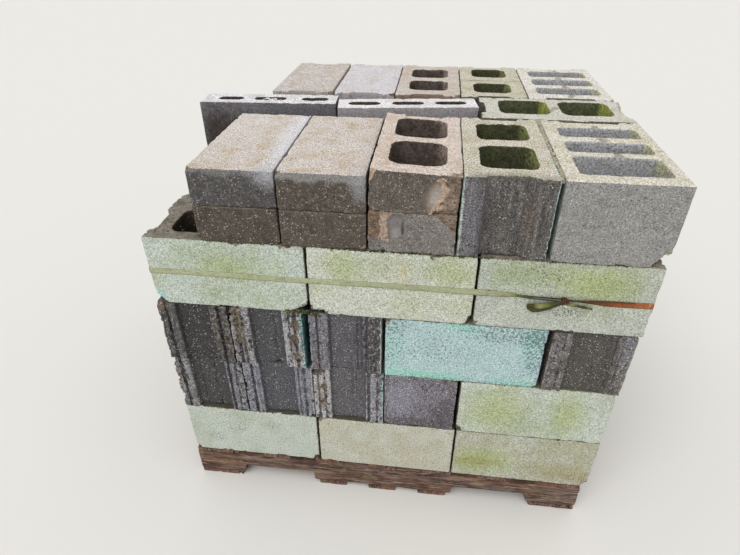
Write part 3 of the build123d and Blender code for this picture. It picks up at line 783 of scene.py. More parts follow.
# Top course, front row
TOP = base_of(5)
SLAB = (199, 399, 92)
for stack, x in ((1, -457.2), (2, -255.0)):
    for upper, layer, struck_z, joint_z, lean in ((0, "lower", 0, 89, 1), (1, "upper", 92, 4, -1)):
        add_block(f"top_stack_{stack}_{layer}", (x, 0, TOP + upper * SLAB[2]), SLAB,
                  seed=30 + 2 * stack + upper, near=NEAR_FRONT_TOP, radius=2.6, wear=1.8, rough=0.8,
                  triangles=15000, painted={2: SKIN}, chips=(
                      (0, 0, struck_z, 7, 9, 6, 4), (199, 0, 0, 7, 10, 7, 4),
                      ("plane", (0, 0, joint_z), (0, -1, lean), 2.6)))
HALF_HIGH_CORES = ((98.5, 117, 64, 71, 32), (98.5, 292, 64, 70.5, 32))
# Places of the third stack's finishes in the lists of its two blocks' materials
SMOOTH_SPALL, GREY_PATCH, MORTAR, MORTAR_RIDGE, SPALL_RIM = 3, 4, 5, 6, 4
add_block("top_stack_3_lower", (-52.8, 0, TOP), (197, 399, 104), HALF_HIGH_CORES, seed=41, near=NEAR_FRONT,
          ends={"back": plain_end}, top_slope=8.0, wear=2.6, rough=0.9, triangles=15000, fine=(3.0, 3.0, 3.0),
          painted={0: MORTAR, 1: MORTAR_RIDGE, 2: GREY_PATCH}, chips=(
              ("facet", ((-4, 106), (30, 106), (31, 29), (5, 40), (-4, 48)), (3.0, 0, 0), 2.6),
              ("facet", ((30, 102), (59, 104), (46, 83), (47, 30), (31, 29)), (1.6, 0, 0), 1.8),
              ("facet", ((46, 83), (58, 97), (78, 96), (80, 71), (80, 49), (53, 33), (48, 41)),
               (4.5, 0, 0), 0.6),
              ("facet", ((140, 108), (168, 85), (186, 62), (201, 60), (201, 108)), (8, 0.02, 0), 3.0)))
add_block("top_stack_3_upper", (-52.8, 0, TOP + 96), (197, 399, 96), HALF_HIGH_CORES, seed=42,
          near=NEAR_FRONT_TOP, ends={"back": plain_end}, tilt=math.atan2(8, 197), wear=2.8, rough=0.8,
          triangles=19000, fine=(2.5, 4.0, 2.5), painted={1: SMOOTH_SPALL, 2: SPALL_RIM, 4: SPALL_RIM},
          chips=(
              ("facet", ((161, 79), (177, 92), (201, 90), (201, -4), (138, -4), (140, 3), (152, 18),
                         (162, 43), (166, 64)), (10, 0.03, 0), 4.5),
              ("facet", ((125, 67), (147, 86), (161, 79), (166, 64), (162, 43), (152, 18), (140, 3),
                         (123, 17), (117, 39)), (-9, 0.105, 0), 0.8),
              ("facet", ((147, 88), (161, 82), (169, 65), (165, 42), (155, 16), (143, -1), (138, 3),
                         (149, 19), (158, 43), (162, 62), (157, 76), (146, 82)), (-7.5, 0.1, 0), 1.2),
              (0, 0, 0, 12, 14, 12, 5), (0, 0, 94, 8, 10, 16, 3)))
add_block("top_ribbed_block", (148.5, 0, TOP), END_ON,
          ((100.5, 121, 61.5, 66, 22), (100.5, 292, 61.5, 58, 22)),
          tuple((x, -7, 199, 12, 15, 11, 3) for x in (66, 88, 111, 133)), seed=43, near=NEAR_FRONT_TOP,
          fine=(2.5, 4.0, 4.0), triangles=22000, wear=3.0, rough=0.9, paint_side=4.5,
          ends={"front": end_profile(197, (), 46, ((44, 7, 5), (24, 5, 3)), (134,)), "back": plain_end})
WIDE = (249.4, 399, 194)
add_block("top_wide_block", (354.5, 0, TOP), WIDE, tuple((129.5, y, 95, half, 13) for y, half in (
              (92.5, 50.5), (205.5, 33.5), (310, 33))),
          (("plane", (246, 0, 42), (1.0, -0.3, -1.0), 4.0), (140, 155, 195, 9, 14, 6, 3),
           (128, 257, 195, 8, 14, 6, 2), (130, 353, 195, 7, 20, 5, 2)), seed=44, near=NEAR_FRONT_TOP,
          triangles=20000, wear=1.6, rough=0.7, radius=1.4, ends={"back": end_profile(WIDE[0])})

# Top course, middle and back rows
for side, x, y, yaw, seed, holes, lumps in (
        ("left", -406.95, 515.0, 3.6, 51, ((-116, 36), (0.5, 47), (134, 38)),
         ((199, 46, 182, 30, 13, 11, 6),)),
        ("right", -0.95, 513.0, 7.2, 52, ((-123.5, 45.5), (2, 45), (125, 44)), ())):
    add_block(f"top_thin_block_{side}", (x - 199.5, y - 45.5, TOP), (399, 91, 194),
              tuple((199.5 + middle, 45.5, half, 14.5, 14.4) for middle, half in holes),
              yaw=math.radians(yaw), seed=seed, near=NEAR_TOP, fine=(4.0, 3.0, 4.0), coarse=6.0,
              triangles=14000, wear=2.2, rough=0.7, lumps=lumps)
add_block("top_middle_stretcher", (205, 401, TOP), STRETCHER,
          ((121, 110, 67, 63, 24), (289, 110, 67, 63, 24)),
          ((399, 60, 194, 8, 30, 8, 5), (399, 150, 194, 10, 20, 10, 5), (205, 106, 199, 10, 20, 6, 4)),
          ends=both_ends, seed=53, near=NEAR_TOP, fine=4.0, coarse=6.0, triangles=16000, wear=3.0)
for number, (name, x, width, cores, chips) in enumerate((
        ("solid_1", -425.0, 186, (), ()),
        ("solid_2", -232.0, 186, (), ()),
        ("cored", -44.5, 197, ((98.5, 120, 60, 56.5, 24), (98.5, 279, 60, 56.5, 24)), ()),
        ("split", 154.0, 197, ((98.5, 109, 56, 53.5, 24), (98.5, 302, 56, 53.5, 24)),
         ((98.5, 199.5, 194, 200, 2.6, 12, 1),)),
        ("wide", 352.5, 244, ((127, 95, 92.5, 34.5, 13), (127, 202, 92.5, 35.5, 13),
                              (127, 311, 92.5, 37.5, 13)),
         tuple((127, y, 195, 8, 16, 8, 2) for y in (148, 254, 370, 38))))):
    add_block(f"top_back_{name}", (x, 600, TOP), (width, 399, 194), cores,
              ((width, 0, 194, 8, 12, 6, 4), (0, 399, 194, 14, 14, 10, 5)) + chips, seed=61 + number,
              near=NEAR_TOP, fine=4.5, coarse=6.5, triangles=12000, wear=2.8,
              ends={"front": end_profile(width), "back": end_profile(width)})

# Rows behind the front: a few worn shapes, each laid both ways round
shapes = [[block_shape(size, ends, cores, seed=seed + n, fine=5.0, triangles=4800, wear=4.5 + n)
           for n in range(3)]
          for size, ends, cores, seed in ((STRETCHER, both_ends, STRETCHER_CORES, 70),
                                          (END_ON, front_and_back, END_ON_CORES, 80))]
rear = []
for course, left, rows in ((1, -607.0, ("middle_rows", "middle_rows", "middle_rows", "back_row")),
                           (4, -603.7, ("second_row", "middle_rows", "middle_rows", "back_row"))):
    rear += [(course, name, left + column * 404.2, row * 200, STRETCHER, STRETCHER_CORES, shapes[0])
             for row, name in enumerate(rows, 1) for column in range(3)]
for course, second_x in ((2, 197.5), (3, -9.0)):
    rear += [(course, "middle_row", x, y, STRETCHER, STRETCHER_CORES, shapes[0])
             for x, y in ((second_x, 200), (-607.0, 400), (-202.8, 400), (201.4, 400))]
    rear += [(course, "back_row", -607 + column * 201.6, 598, END_ON, END_ON_CORES, shapes[1])
             for column in range(6)]
for laid, (course, name, x, y, size, cores, made) in enumerate(rear, 1):
    add_block(f"course_{course}_{name}", (x, y, base_of(course)), size, cores, shape=made[laid % 3],
              turned=laid % 2 == 1, seed=laid)

# Finishes of the concrete. Blots of painted_concrete, bare_concrete and broken_concrete are as front_blots
# has them, those of slab_concrete as stain has them
damp_core = core_concrete("damp_concrete_core", "#5b524c", "#5c5234", 0.15, lit_share=0.1)
green_core = core_concrete("green_concrete_core", "#56553f", "#545a3a", 0.5, "#a3a66a", 0.7)
mossy_core = core_concrete("mossy_concrete_core", "#686a4c", "#5c6446", 0.6, "#b3b85a", 0.85, (0, 70))
grey_core = core_concrete("grey_concrete_core", "#bdbdc0", "#a3a498", 0.15, "#cbc79c", 0.8, damp=0.16)
rosy_core = core_concrete("rosy_brown_concrete_core", "#6d6159", "#5f554c", 0.1, "#b39f92", 0.85, (-30, 44))
fresh_break = broken_concrete("broken_concrete", "#7b7267", "#a89c88", "#4d463e")
sandy_break = broken_concrete("broken_sandy_concrete", "#978577", "#b9a690", "#6a5b4d")
pale_break = broken_concrete("pale_broken_concrete", "#b9b3a5", "#d6d1c4", "#8d8678", 0.5)
smooth_spall = broken_concrete("smooth_tan_spall", "#918172", "#a29382", "#6d6054", 0.45, (
    ("#bbb2a8", 48, -10, 18, 24, 0.9), ("#75675a", 24, 6, 10, 36, 0.6)))
# Pale tan: on the narrow strip between the two spalls a painted highlight along their ridge, on the small
# chip at the upper block's left end the concrete's own colour
tan_spall_and_highlight = broken_concrete("tan_spall_and_painted_highlight", "#cdb19b", "#d8c2ae", "#a08672", 0.5)
# Its second blot, dark and narrow at the patch's right edge, is painted shadow of the notch beside it
grey_patch = broken_concrete("smooth_grey_break", "#8a8482", "#9b9592", "#6a6360", 0.35, (
    ("#aaa4a0", -34, -6, 10, 14, 0.8), ("#4f4a47", -18, 8, 5, 20, 0.8)))
brown_mortar = broken_concrete("brown_mortar", "#846f5e", "#9c8672", "#5d4d40")
mortar_ridge = broken_concrete("light_mortar_ridge", "#bba393", "#ccb7a6", "#84705f")
tan_side = broken_concrete("tan_worn_edge", "#b3aa9a", "#c4bcae", "#8b8373")
# Turquoise paint on a side seen through a narrow gap, its colours darkened with painted shade
shaded_teal_side = painted_concrete("teal_paint_darkened_by_painted_shade", "#3f7f7d", "#2c5c5d", 0.4, chalk="#4d918d", side=True)
white_side = painted_concrete("white_paint_on_side", "#c9cccb", "#b3b8b4", 0.3, chalk="#e2e4e3", side=True)
seafoam_side = painted_concrete("pale_turquoise_paint_on_break", "#a2d0cb", "#93c4bd", 0.3, chalk="#b8dcd6",
                                side=True)
turquoise_side = painted_concrete("turquoise_paint_on_side", "#a5d2cd", "#7db3ad", 0.4, chalk="#d8efeb",
                                  side=True)
rear_bare = bare_concrete("rear_bare_concrete", "#7f7b77", "#5d5a58", "#a09c96", "#55524f")
rear_pale = painted_concrete("rear_pale_paint", "#b4b7a6", "#9aa080", 0.4)
# The last colour, and the greenish ledge colours below, are for ledges under the course above: dirt and moss
# with painted shade
GREEN, YELLOW_GREEN, SHADED_SOIL = "#a2ad86", "#a9b478", "#4b463b"
skins = {
    "course_4_front_left": painted_concrete("cream_paint_on_concrete", "#bfc9bf", "#b0bb9c", 0.3, (
        (YELLOW_GREEN, 0, 22, 60, 30, 0.7), (GREEN, -10, 50, 90, 34, 0.5), (GREEN, -28, -55, 55, 34, 0.5),
        (GREEN, 110, -50, 75, 28, 0.3), ("#9ccfc9", -190, -76, 16, 18, 0.9))),
    "course_4_front_middle": painted_concrete("algae_on_cream_paint", "#cacdc0", "#bcc09f", 0.35, (
        (YELLOW_GREEN, -118, 52, 42, 40, 0.55), (YELLOW_GREEN, 150, 50, 50, 42, 0.55),
        (GREEN, 20, 60, 150, 28, 0.35), ("#cdbb8a", 30, 40, 16, 30, 0.35))),
    "course_4_front_right": painted_concrete("green_algae_on_cream_paint", "#b8bdb0", "#a6ac8d", 0.2, (
        (GREEN, -100, 62, 110, 34, 0.8), (YELLOW_GREEN, 70, 42, 80, 46, 0.85), (GREEN, 160, 50, 50, 40, 0.45),
        ("#b9bebb", -185, 30, 16, 70, 0.6), ("#bcc1bb", 185, 20, 22, 80, 0.5),
        ("#c3c7bf", 0, -75, 190, 26, 0.5)), pitted=((16, -40, 34, 14, 0.75), (-60, 60, 70, 30, 0.2))),
    "course_1_front_left": painted_concrete(
        "mint_paint_on_concrete", "#bec6bb", "#adb69f", 0.3, ledge=SHADED_SOIL,
        cracked=((-62, 20, 30, 28, 12), (60, 45, 30, 12, 12), (-120, -30, 26, 20, 12))),
    "course_1_front_middle": painted_concrete("cream_paint_low_course", "#c1c0b2", "#b5b298", 0.35, (
        ("#b59f7f", 90, -30, 60, 40, 0.2),), ledge=SHADED_SOIL),
    "course_1_front_right": painted_concrete("algae_paint_low_course", "#b3b2a1", "#a9a888", 0.3, (
        (YELLOW_GREEN, -120, -20, 95, 50, 0.8), ("#a39d6f", 110, -40, 90, 36, 0.6),
        ("#969159", -130, -30, 60, 24, 0.6), ("#9f9474", 150, -60, 60, 18, 0.6)), ledge="#6d7158"),
    "course_2_front_stretcher": painted_concrete("pale_mint_paint", "#c2c9be", "#aeb59c", 0.25, (
        (YELLOW_GREEN, -100, 0, 75, 75, 0.7), (YELLOW_GREEN, 90, 0, 45, 75, 0.7),
        (GREEN, 0, -60, 80, 40, 0.4)), ledge="#70755a"),
    "course_3_front_stretcher": turquoise_paint()}
for node, name, ear, recess, light, dark, brown, right_ear, blots in (
        ("course_3_front_end_1", "dark_damp_concrete", "#5a5958", "#474647", "#8f8c8a", "#3a3837", 0.15,
         "#58524e", (("#7d6a5c", -88, 88, 22, 14, 0.8),)),
        ("course_3_front_end_2", "pitted_pale_concrete", "#8c8a8f", "#535356", "#bfbcba", "#4a4746", 0.1,
         "#abaaad", ()),
        ("course_3_front_end_3", "lilac_grey_concrete", "#77767c", "#67666b", "#9d9ca3", "#4b484b", 0.12,
         "#504b49", ()),
        ("course_3_front_end_4", "brown_grey_concrete", "#757374", "#5c5855", "#a19e9b", "#4a4643", 0.3,
         "#6c6966", (("#8d8c95", 84, 60, 22, 50, 0.5), ("#5e6149", -60, -94, 60, 8, 0.7))),
        ("course_2_front_end_1", "eroded_grey_concrete", "#88878c", "#4c4b4b", "#b0adac", "#4b4948", 0.15,
         "#7a7a83", ()),
        ("course_2_front_end_2", "lavender_grey_concrete", "#84848e", "#595a5e", "#a8a7ab", "#525156", 0.05,
         None, ()),
        ("course_2_front_end_3", "tan_eared_concrete", "#b3b0b3", "#636265", "#cbc7c3", "#605d5d", 0.1,
         "#85848f", (("#9c9188", -78, 0, 16, 50, 0.4),)),
        ("course_2_front_plain_end", "mottled_dark_concrete", "#787479", "#787479", "#9c9aa3", "#4a464a",
         0.15, None, (("#9a98a6", -50, 10, 40, 70, 0.6), ("#8c8a95", 30, 30, 50, 30, 0.4),
                      ("#4d484b", 75, -40, 40, 60, 0.5), ("#4d484b", -10, -85, 90, 24, 0.5)))):
    skins[node] = bare_concrete(name, ear, recess, light, dark, brown, right_ear, blots)
for node, name, top, front, light, dark, more in (
        # The lower slabs' tops lie in the gap under the upper slabs; their top, tan and pale colours are dark
        # with painted shade
        ("stack_1_lower", "brown_stained_slab", "#7d7368", "#585047", "#7b7167", "#3a332d",
         {"pale": "#8a8075", "tan": "#6d6154"}),
        ("stack_1_upper", "bleached_slab", "#dbd1c9", "#565454", "#8f8c87", "#45413c",
         {"band": ("#8f8f8d", 46), "blot_soft": 0.9, "blots": (
             ("#e6e7ee", (88, 30, 46), (24, 260, 30), 0.7), ("#e6e2e0", (-60, 120, 46), (60, 90, 30), 0.3),
             ("#a9a9ac", (84, -199, 34), (30, 40, 24), 0.5))}),
        # Dark top colours here too: painted shade under the upper slab
        ("stack_2_lower", "dark_stained_slab", "#7d7368", "#5e564e", "#7f756b", "#3b352f",
         {"pale": "#8a8075", "tan": "#6d6154"}),
        ("stack_2_upper", "bleached_stained_slab", "#dcd2ca", "#5a524a", "#958b7f", "#433b34",
         {"band": ("#a3a3a3", 40), "blots": (("#a8a9ad", (88, -199, 20), (20, 40, 30), 0.5),)}),
        ("stack_3_lower", "mortared_concrete", "#8b8177", "#827e79", "#a29b93", "#5a544e", {}),
        ("stack_3_upper", "rosy_bleached_concrete", "#e0d1c5", "#686059", "#93887e", "#47403b",
         {"tan": "#cdb7a2", "pale": "#e6dcd2"}),
        ("ribbed_block", "ribbed_concrete", "#d8d1c0", "#65625f", "#9a9795", "#403d3b",
         {"tan": "#b8b196", "pale": "#d8d4c8", "front_grain": 0.8, "streaks": 0.12, "blots": (
             ("#7c7a82", (-78, -199, 0), (26, 30, 110), 0.6),
             # Dark blot down the step from the left ear into the recess: painted shadow
             ("#4b4848", (-40, -199, -20), (14, 30, 90), 0.6),
             ("#c9d8cd", (-97, -199, -10), (4, 40, 100), 0.8),
             ("#5f6152", (10, -199, 92), (90, 30, 7), 0.6),
             ("#7a6659", (48, -199, -10), (16, 30, 50), 0.3))}),
        ("wide_block", "pale_cream_concrete", "#e2dccb", "#9a9996", "#b4b3ad", "#7b7974",
         {"tan": "#cfc8ac", "pale": "#ece9e0", "front_grain": 0.5, "edge": 0.2}),
        ("thin_block_left", "grey_thin_concrete", "#efedf1", "#68666b", "#98948f", "#3d3a3a",
         {"tan": "#d6cdc6", "band": ("#807e83", 60), "band_amount": 0.7, "blots": (
             ("#433c37", (-160, -46, 0), (40, 30, 78), 0.9),
             ("#4b423c", (-100, -46, 10), (50, 30, 60), 0.8))}),
        ("thin_block_right", "pale_thin_concrete", "#f6f4f6", "#6b686c", "#a09c98", "#403d3b",
         {"tan": "#dcd3cb", "band": ("#b5b0b3", 50), "band_amount": 0.9}),
        ("middle_stretcher", "greenish_bleached_concrete", "#d6d4c7", "#6b685c", "#a5a190", "#454239",
         {"tan": "#bdbaa2", "pale": "#e0ded6"}),
        ("back_solid_1", "tan_bleached_concrete", "#d0c8c4", "#6a6660", "#9c958c", "#45413d",
         {"band": ("#c4bab4", 72), "band_amount": 1.0}),
        ("back_solid_2", "rosy_grey_concrete", "#dedbdf", "#6a6660", "#9c958c", "#45413d",
         {"tan": "#cfc4bb", "pale": "#e0dee2", "band": ("#bdb8b8", 76), "band_amount": 1.0}),
        ("back_cored", "rosy_beige_concrete", "#d2c7bf", "#6a6660", "#9c958c", "#45413d",
         {"band": ("#a08577", 72), "band_amount": 0.9}),
        ("back_split", "mossy_beige_concrete", "#cfcbb6", "#6a675a", "#9c9785", "#45423a",
         {"tan": "#b4b08c", "pale": "#d9d6c8"}),
        ("back_wide", "cream_concrete", "#eae6dc", "#7a7873", "#a8a59c", "#54524e",
         {"tan": "#cfc8b4", "pale": "#ece9e2"})):
    skins["top_" + node] = slab_concrete(name, top, front, light, dark, **more)

# What a node shows in its cores, where it is broken, and on its painted or otherwise finished parts
insides = {
    "top_wide_block": (grey_core, pale_break, white_side),
    "top_back_wide": (grey_core, pale_break, white_side),
    "top_middle_stretcher": (mossy_core, pale_break, white_side),
    "top_ribbed_block": (green_core, fresh_break, turquoise_side),
    "top_back_split": (green_core, pale_break, white_side),
    "top_back_cored": (rosy_core, fresh_break, white_side),
    "top_stack_3_upper": (rosy_core, sandy_break, smooth_spall, tan_spall_and_highlight),
    "top_stack_3_lower": (damp_core, sandy_break, smooth_spall, grey_patch, brown_mortar, mortar_ridge),
    "course_4_front_left": (damp_core, fresh_break, seafoam_side),
    "course_3_front_end_2": (damp_core, fresh_break, shaded_teal_side),
    "course_3_front_end_4": (damp_core, fresh_break, tan_side),
    "course_2_front_end_3": (damp_core, fresh_break, seafoam_side)}
for node in sorted(stone):
    skin = skins.get(node, rear_bare if node[7] in "23" else rear_pale)
    stone_piece(node, (skin, *insides.get(node, (damp_core, fresh_break, white_side))))

# Pallet: boards as node, x, width and z, each laid from the front to the back
PALLET_LEFT, PALLET_LENGTH, PALLET_DEPTH = -611, 1200, 1000
STRINGER_HEIGHT, STRINGER_WIDTH, BOARD_THICKNESS = 89, 38, 16
LEAD_WIDTH, BOARD_WIDTH, RIGHT_LEAD = 140, 89, 449
DECK_Z, STRINGER_Z, BOTTOM_Z = -16, -105, -121
NOTCH_HEIGHT, NOTCH_RADIUS = 38, 13
SPLIT_STRETCH = 14
boards = [("top_deck_board_1", PALLET_LEFT, LEAD_WIDTH, DECK_Z),
          ("top_deck_board_7", RIGHT_LEAD, LEAD_WIDTH, DECK_Z)]
boards += [(f"top_deck_board_{n + 2}", -391.8 + 168.15 * n, BOARD_WIDTH, DECK_Z) for n in range(5)]
boards += [("bottom_deck_board_1", PALLET_LEFT, LEAD_WIDTH, BOTTOM_Z),
           ("bottom_deck_board_5", RIGHT_LEAD, LEAD_WIDTH, BOTTOM_Z)]
boards += [(f"bottom_deck_board_{n + 2}", -214.5 + 159 * n, BOARD_WIDTH, BOTTOM_Z) for n in range(3)]
wood_x = old_wood("old_softwood_stringer", 0, "#6a5449", "#9a8478", "#2b1f18")
wood_y = old_wood("old_softwood_deck", 1, "#6f584b", "#9f8b80", "#2f221b")


def wood_shape(size, along, seed, splits, outline=None):
    """One weathered board, rounded by wear, its grain standing out and its ends and edges split."""
    waves = [tuple(w * SPLIT_STRETCH if axis == along else w for axis in range(3)) for w in (14.0, 6.0, 4.0)]
    near = [(40, 40) if axis == along else (ALL if axis == 2 else 0, 0) for axis in range(3)]
    return block_shape(size, chips=splits, seed=seed, wear=3.0, rough=0.8, radius=1.8, fine=3.5, coarse=7.0,
                       near=near, triangles=5000, outline=outline, waves=waves)


def wood_piece(node, points, corners, material):
    """One weathered piece of the pallet."""
    piece = mesh_object("weathered_" + node, (points + SHIFT) * MM, corners, [material])
    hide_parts(node)
    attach(piece, "root")


def notch(x0, x1):
    """Outline of one notch cut up from the lower edge, between two x, with rounded inner corners."""
    turns = [math.pi / 8 * step for step in range(5)]
    low = NOTCH_HEIGHT - NOTCH_RADIUS
    left = [(x0 + NOTCH_RADIUS - NOTCH_RADIUS * math.cos(a), low + NOTCH_RADIUS * math.sin(a)) for a in turns]
    right = [(x1 - NOTCH_RADIUS + NOTCH_RADIUS * math.sin(a), low + NOTCH_RADIUS * math.cos(a))
             for a in turns]
    return [(x0, 0)] + left + right + [(x1, 0)]


stringer_outline = [(0, 0), *notch(152, 381), *notch(819, 1048), (PALLET_LENGTH, 0),
                    (PALLET_LENGTH, STRINGER_HEIGHT), (0, STRINGER_HEIGHT)]
stringer_splits = [(x, 91, 40, half, deep, 9, 3) for x, half, deep in (
    (90, 60, 5), (240, 90, 8), (395, 50, 6), (560, 80, 9), (650, 40, 12), (800, 110, 7), (960, 60, 10),
    (1110, 60, 6))]
for number, (side, y) in enumerate((("front", 0), ("middle", 481), ("back", 962))):
    # A stringer is shaped lying on its side, then turned upright
    points, corners = wood_shape((PALLET_LENGTH, STRINGER_HEIGHT, STRINGER_WIDTH), 0, 91 + number,
                                 stringer_splits, stringer_outline)
    points = np.stack((points[:, 0] + PALLET_LEFT, STRINGER_WIDTH - points[:, 2] + y,
                       points[:, 1] + STRINGER_Z), 1)
    wood_piece("stringer_" + side, points, corners, wood_x)
for number, (node, x, width, z) in enumerate(boards):
    splits = ((width * (0.2 + 0.13 * number % 0.6), -4, 17, width * 0.3, 16, 9, 3),
              (width * 0.9, -3, 14, width * 0.12, 12, 12, 3))
    points, corners = wood_shape((width, PALLET_DEPTH, BOARD_THICKNESS), 1, 100 + number, splits)
    wood_piece(node, points + (x, 0, z), corners, wood_y)


def finish_webbing():
    """Woven polyester webbing, bleached by sun: a dull greenish cream, rusty brown at its right, dirty in the
    knot, and dark along its upper edge right of the knot with dirt and painted shade. The weave's ribs are
    1.5 mm apart; here they are 5 mm, so that they just show."""
    material, tree = new_material("weathered_polyester_webbing")
    place = own_place(tree)
    tint = add(tree, "Attribute", attribute_name="tint").outputs["Fac"]
    noise = add(tree, "TexNoise", {"Vector": place, "Scale": 1 / (16 * MM), "Detail": 4.0, "Roughness": 0.7})
    stirred = add(tree, "Math", {0: noise, 1: 0.22, 2: tint}, operation="MULTIPLY_ADD")
    ramp = add(tree, "ValToRGB", {0: stirred})
    tints = ramp.color_ramp.elements
    tints.remove(tints[1])
    tints[0].position = 0.0
    tints[0].color = paint("#c0c4a2")
    for at, colour in ((0.2, "#a3a783"), (0.32, "#7b8047"), (0.42, "#4a4a26"), (0.52, "#4c3a27"),
                       (0.64, "#6b4129"), (0.78, "#97532f"), (0.9, "#ab6a42"), (1.02, "#ece9dd")):
        tints.new(at / 1.1).color = paint(colour)
    colour = patches(tree, place, ramp, "#4d4c33", 12, 0.2, 0.06, 0.3, (0.3, 1, 1))
    ribs = add(tree, "TexWave", {"Vector": place, "Scale": 1 / (5 * MM) / FULL_TURN * 2}, bands_direction="X")
    colour = blend_by(tree, ribs.outputs["Fac"], colour, "#5c5b45", 0.08)
    rough_surface(tree, place, grain(tree, place, colour, 4.0, 0.25), 3.0, 0.3, 0.8)
    return material


def geometry_tree(name, sizes):
    """Empty Geometry Nodes tree with a geometry input, named sizes and a geometry output."""
    tree = bpy.data.node_groups.new(name, "GeometryNodeTree")
    tree.interface.new_socket("Geometry", in_out="INPUT", socket_type="NodeSocketGeometry")
    for label, value in sizes.items():
        tree.interface.new_socket(label, in_out="INPUT", socket_type="NodeSocketFloat").default_value = value
    tree.interface.new_socket("Geometry", in_out="OUTPUT", socket_type="NodeSocketGeometry")
    return tree, add(tree, "NodeGroupInput").outputs


def end_tree(tree, geometry, material):
    """Ends a Geometry Nodes tree: real instances with their material."""
    real = add(tree, "GeometryNodeRealizeInstances", {"Geometry": geometry})
    done = add(tree, "GeometryNodeSetMaterial", {"Geometry": real, "Material": material})
    add(tree, "NodeGroupOutput", {"Geometry": done})
    return tree


def grown(name, points, edges, attributes, tree, sizes):
    """Plain mesh piece that a Geometry Nodes tree makes from guide points in mm and its named sizes."""
    guide = bpy.data.meshes.new(name + "_guide")
    guide.from_pydata([tuple(p) for p in (np.array(points, float) + SHIFT) * MM], edges, [])
    for label, values in attributes.items():
        vector = np.ndim(values) == 2
        attribute = guide.attributes.new(label, "FLOAT_VECTOR" if vector else "FLOAT", "POINT")
        attribute.data.foreach_set("vector" if vector else "value", np.asarray(values, np.float32).ravel())
    holder = put_in_scene(name + "_guide", guide)
    modifier = holder.modifiers.new("make", "NODES")
    modifier.node_group = tree
    for item in tree.interface.items_tree:
        if item.in_out == "INPUT" and item.name in sizes:
            modifier[item.identifier] = float(sizes[item.name])
    made = evaluated_mesh(holder, guide)
    made.name = name
    return put_in_scene(name, made)


def webbing_tree(material):
    """Sweeps a flat band along its guide lines, turned and narrowed as their points say."""
    tree, given = geometry_tree("swept_webbing", {"Width": 15 * MM, "Thickness": 1.1 * MM})
    lines = add(tree, "GeometryNodeMeshToCurve", {"Mesh": given["Geometry"]})
    upright = add(tree, "GeometryNodeSetCurveNormal", {"Curve": lines}, mode="Z_UP")
    turn = add(tree, "GeometryNodeInputNamedAttribute", {"Name": "turn"}, data_type="FLOAT")
    turned = add(tree, "GeometryNodeSetCurveTilt", {"Curve": upright, "Tilt": turn})
    share = add(tree, "GeometryNodeInputNamedAttribute", {"Name": "share"}, data_type="FLOAT")
    band = add(tree, "GeometryNodeCurvePrimitiveQuadrilateral", {"Width": given["Thickness"],
                                                                 "Height": given["Width"]})
    finer = add(tree, "GeometryNodeResampleCurve", {"Curve": band, "Count": 12})
    swept = add(tree, "GeometryNodeCurveToMesh", {"Curve": turned, "Profile Curve": finer, "Scale": share,
                                                  "Fill Caps": True})
    place = add(tree, "GeometryNodeInputPosition")
    wobble = add(tree, "TexNoise", {"Vector": place, "Scale": 1 / (9 * MM), "Detail": 2.0})
    frayed = add(tree, "Math", {0: wobble, 1: 2.4 * MM, 2: -1.2 * MM}, operation="MULTIPLY_ADD")
    less = add(tree, "Math", {0: frayed, 1: share}, operation="MULTIPLY")
    offset = add(tree, "CombineXYZ", {2: less})
    moved = add(tree, "GeometryNodeSetPosition", {"Geometry": swept, "Offset": offset})
    return end_tree(tree, moved, material)


def crumb_tree(name, material):
    """Puts a small rough stone at each guide point, turned at random and as large as the point says."""
    tree, given = geometry_tree(name, {"Radius": CRUMB_RADIUS})
    ball = add(tree, "GeometryNodeMeshIcoSphere", {"Radius": given["Radius"], "Subdivisions": 2})
    place = add(tree, "GeometryNodeInputPosition")
    dent = add(tree, "TexNoise", {"Vector": place, "Scale": 900.0, "Detail": 1.0})
    squeeze = add(tree, "Math", {0: dent, 1: 1.1, 2: 0.4}, operation="MULTIPLY_ADD")
    rough = add(tree, "VectorMath", {0: place, "Scale": squeeze}, operation="SCALE")
    crumb = add(tree, "GeometryNodeSetPosition", {"Geometry": ball, "Position": rough})
    turn = add(tree, "FunctionNodeRandomValue", {"Min": (0, 0, 0), "Max": (FULL_TURN,) * 3, "Seed": 8},
               data_type="FLOAT_VECTOR")
    size = add(tree, "GeometryNodeInputNamedAttribute", {"Name": "size"}, data_type="FLOAT_VECTOR")
    laid = add(tree, "GeometryNodeInstanceOnPoints", {"Points": given["Geometry"], "Instance": crumb,
                                                      "Rotation": turn, "Scale": size})
    return end_tree(tree, laid, material)


def nail_tree(material, sizes):
    """Puts a wire nail's flat head at each guide point, its shank end in the board."""
    tree, given = geometry_tree("driven_nails", sizes)
    head = add(tree, "GeometryNodeMeshCylinder", {"Vertices": 10, "Radius": given["Head Radius"],
                                                  "Depth": given["Head Height"]})
    lean = add(tree, "FunctionNodeRandomValue", {
        "Min": (-0.12, -0.12, 0), "Max": (0.12, 0.12, 3.1), "Seed": 4}, data_type="FLOAT_VECTOR")
    laid = add(tree, "GeometryNodeInstanceOnPoints", {"Points": given["Geometry"], "Instance": head,
                                                      "Rotation": lean})
    return end_tree(tree, laid, material)


def smooth_line(knots, steps):
    """Points along a smooth line through knots: x, y, z in mm, turn in radians, part of the width, tint."""
    knots = np.array(knots, float)
    ends = np.vstack((2 * knots[0] - knots[1], knots, 2 * knots[-1] - knots[-2]))
    made = []
    for a, b, c, d in zip(ends, ends[1:], ends[2:], ends[3:]):
        for t in np.arange(steps) / steps:
            made.append(0.5 * (2 * b + (c - a) * t + (2 * a - 5 * b + 4 * c - d) * t ** 2
                               + (3 * b - a - 3 * c + d) * t ** 3))
    return np.array(made + [knots[-1]])


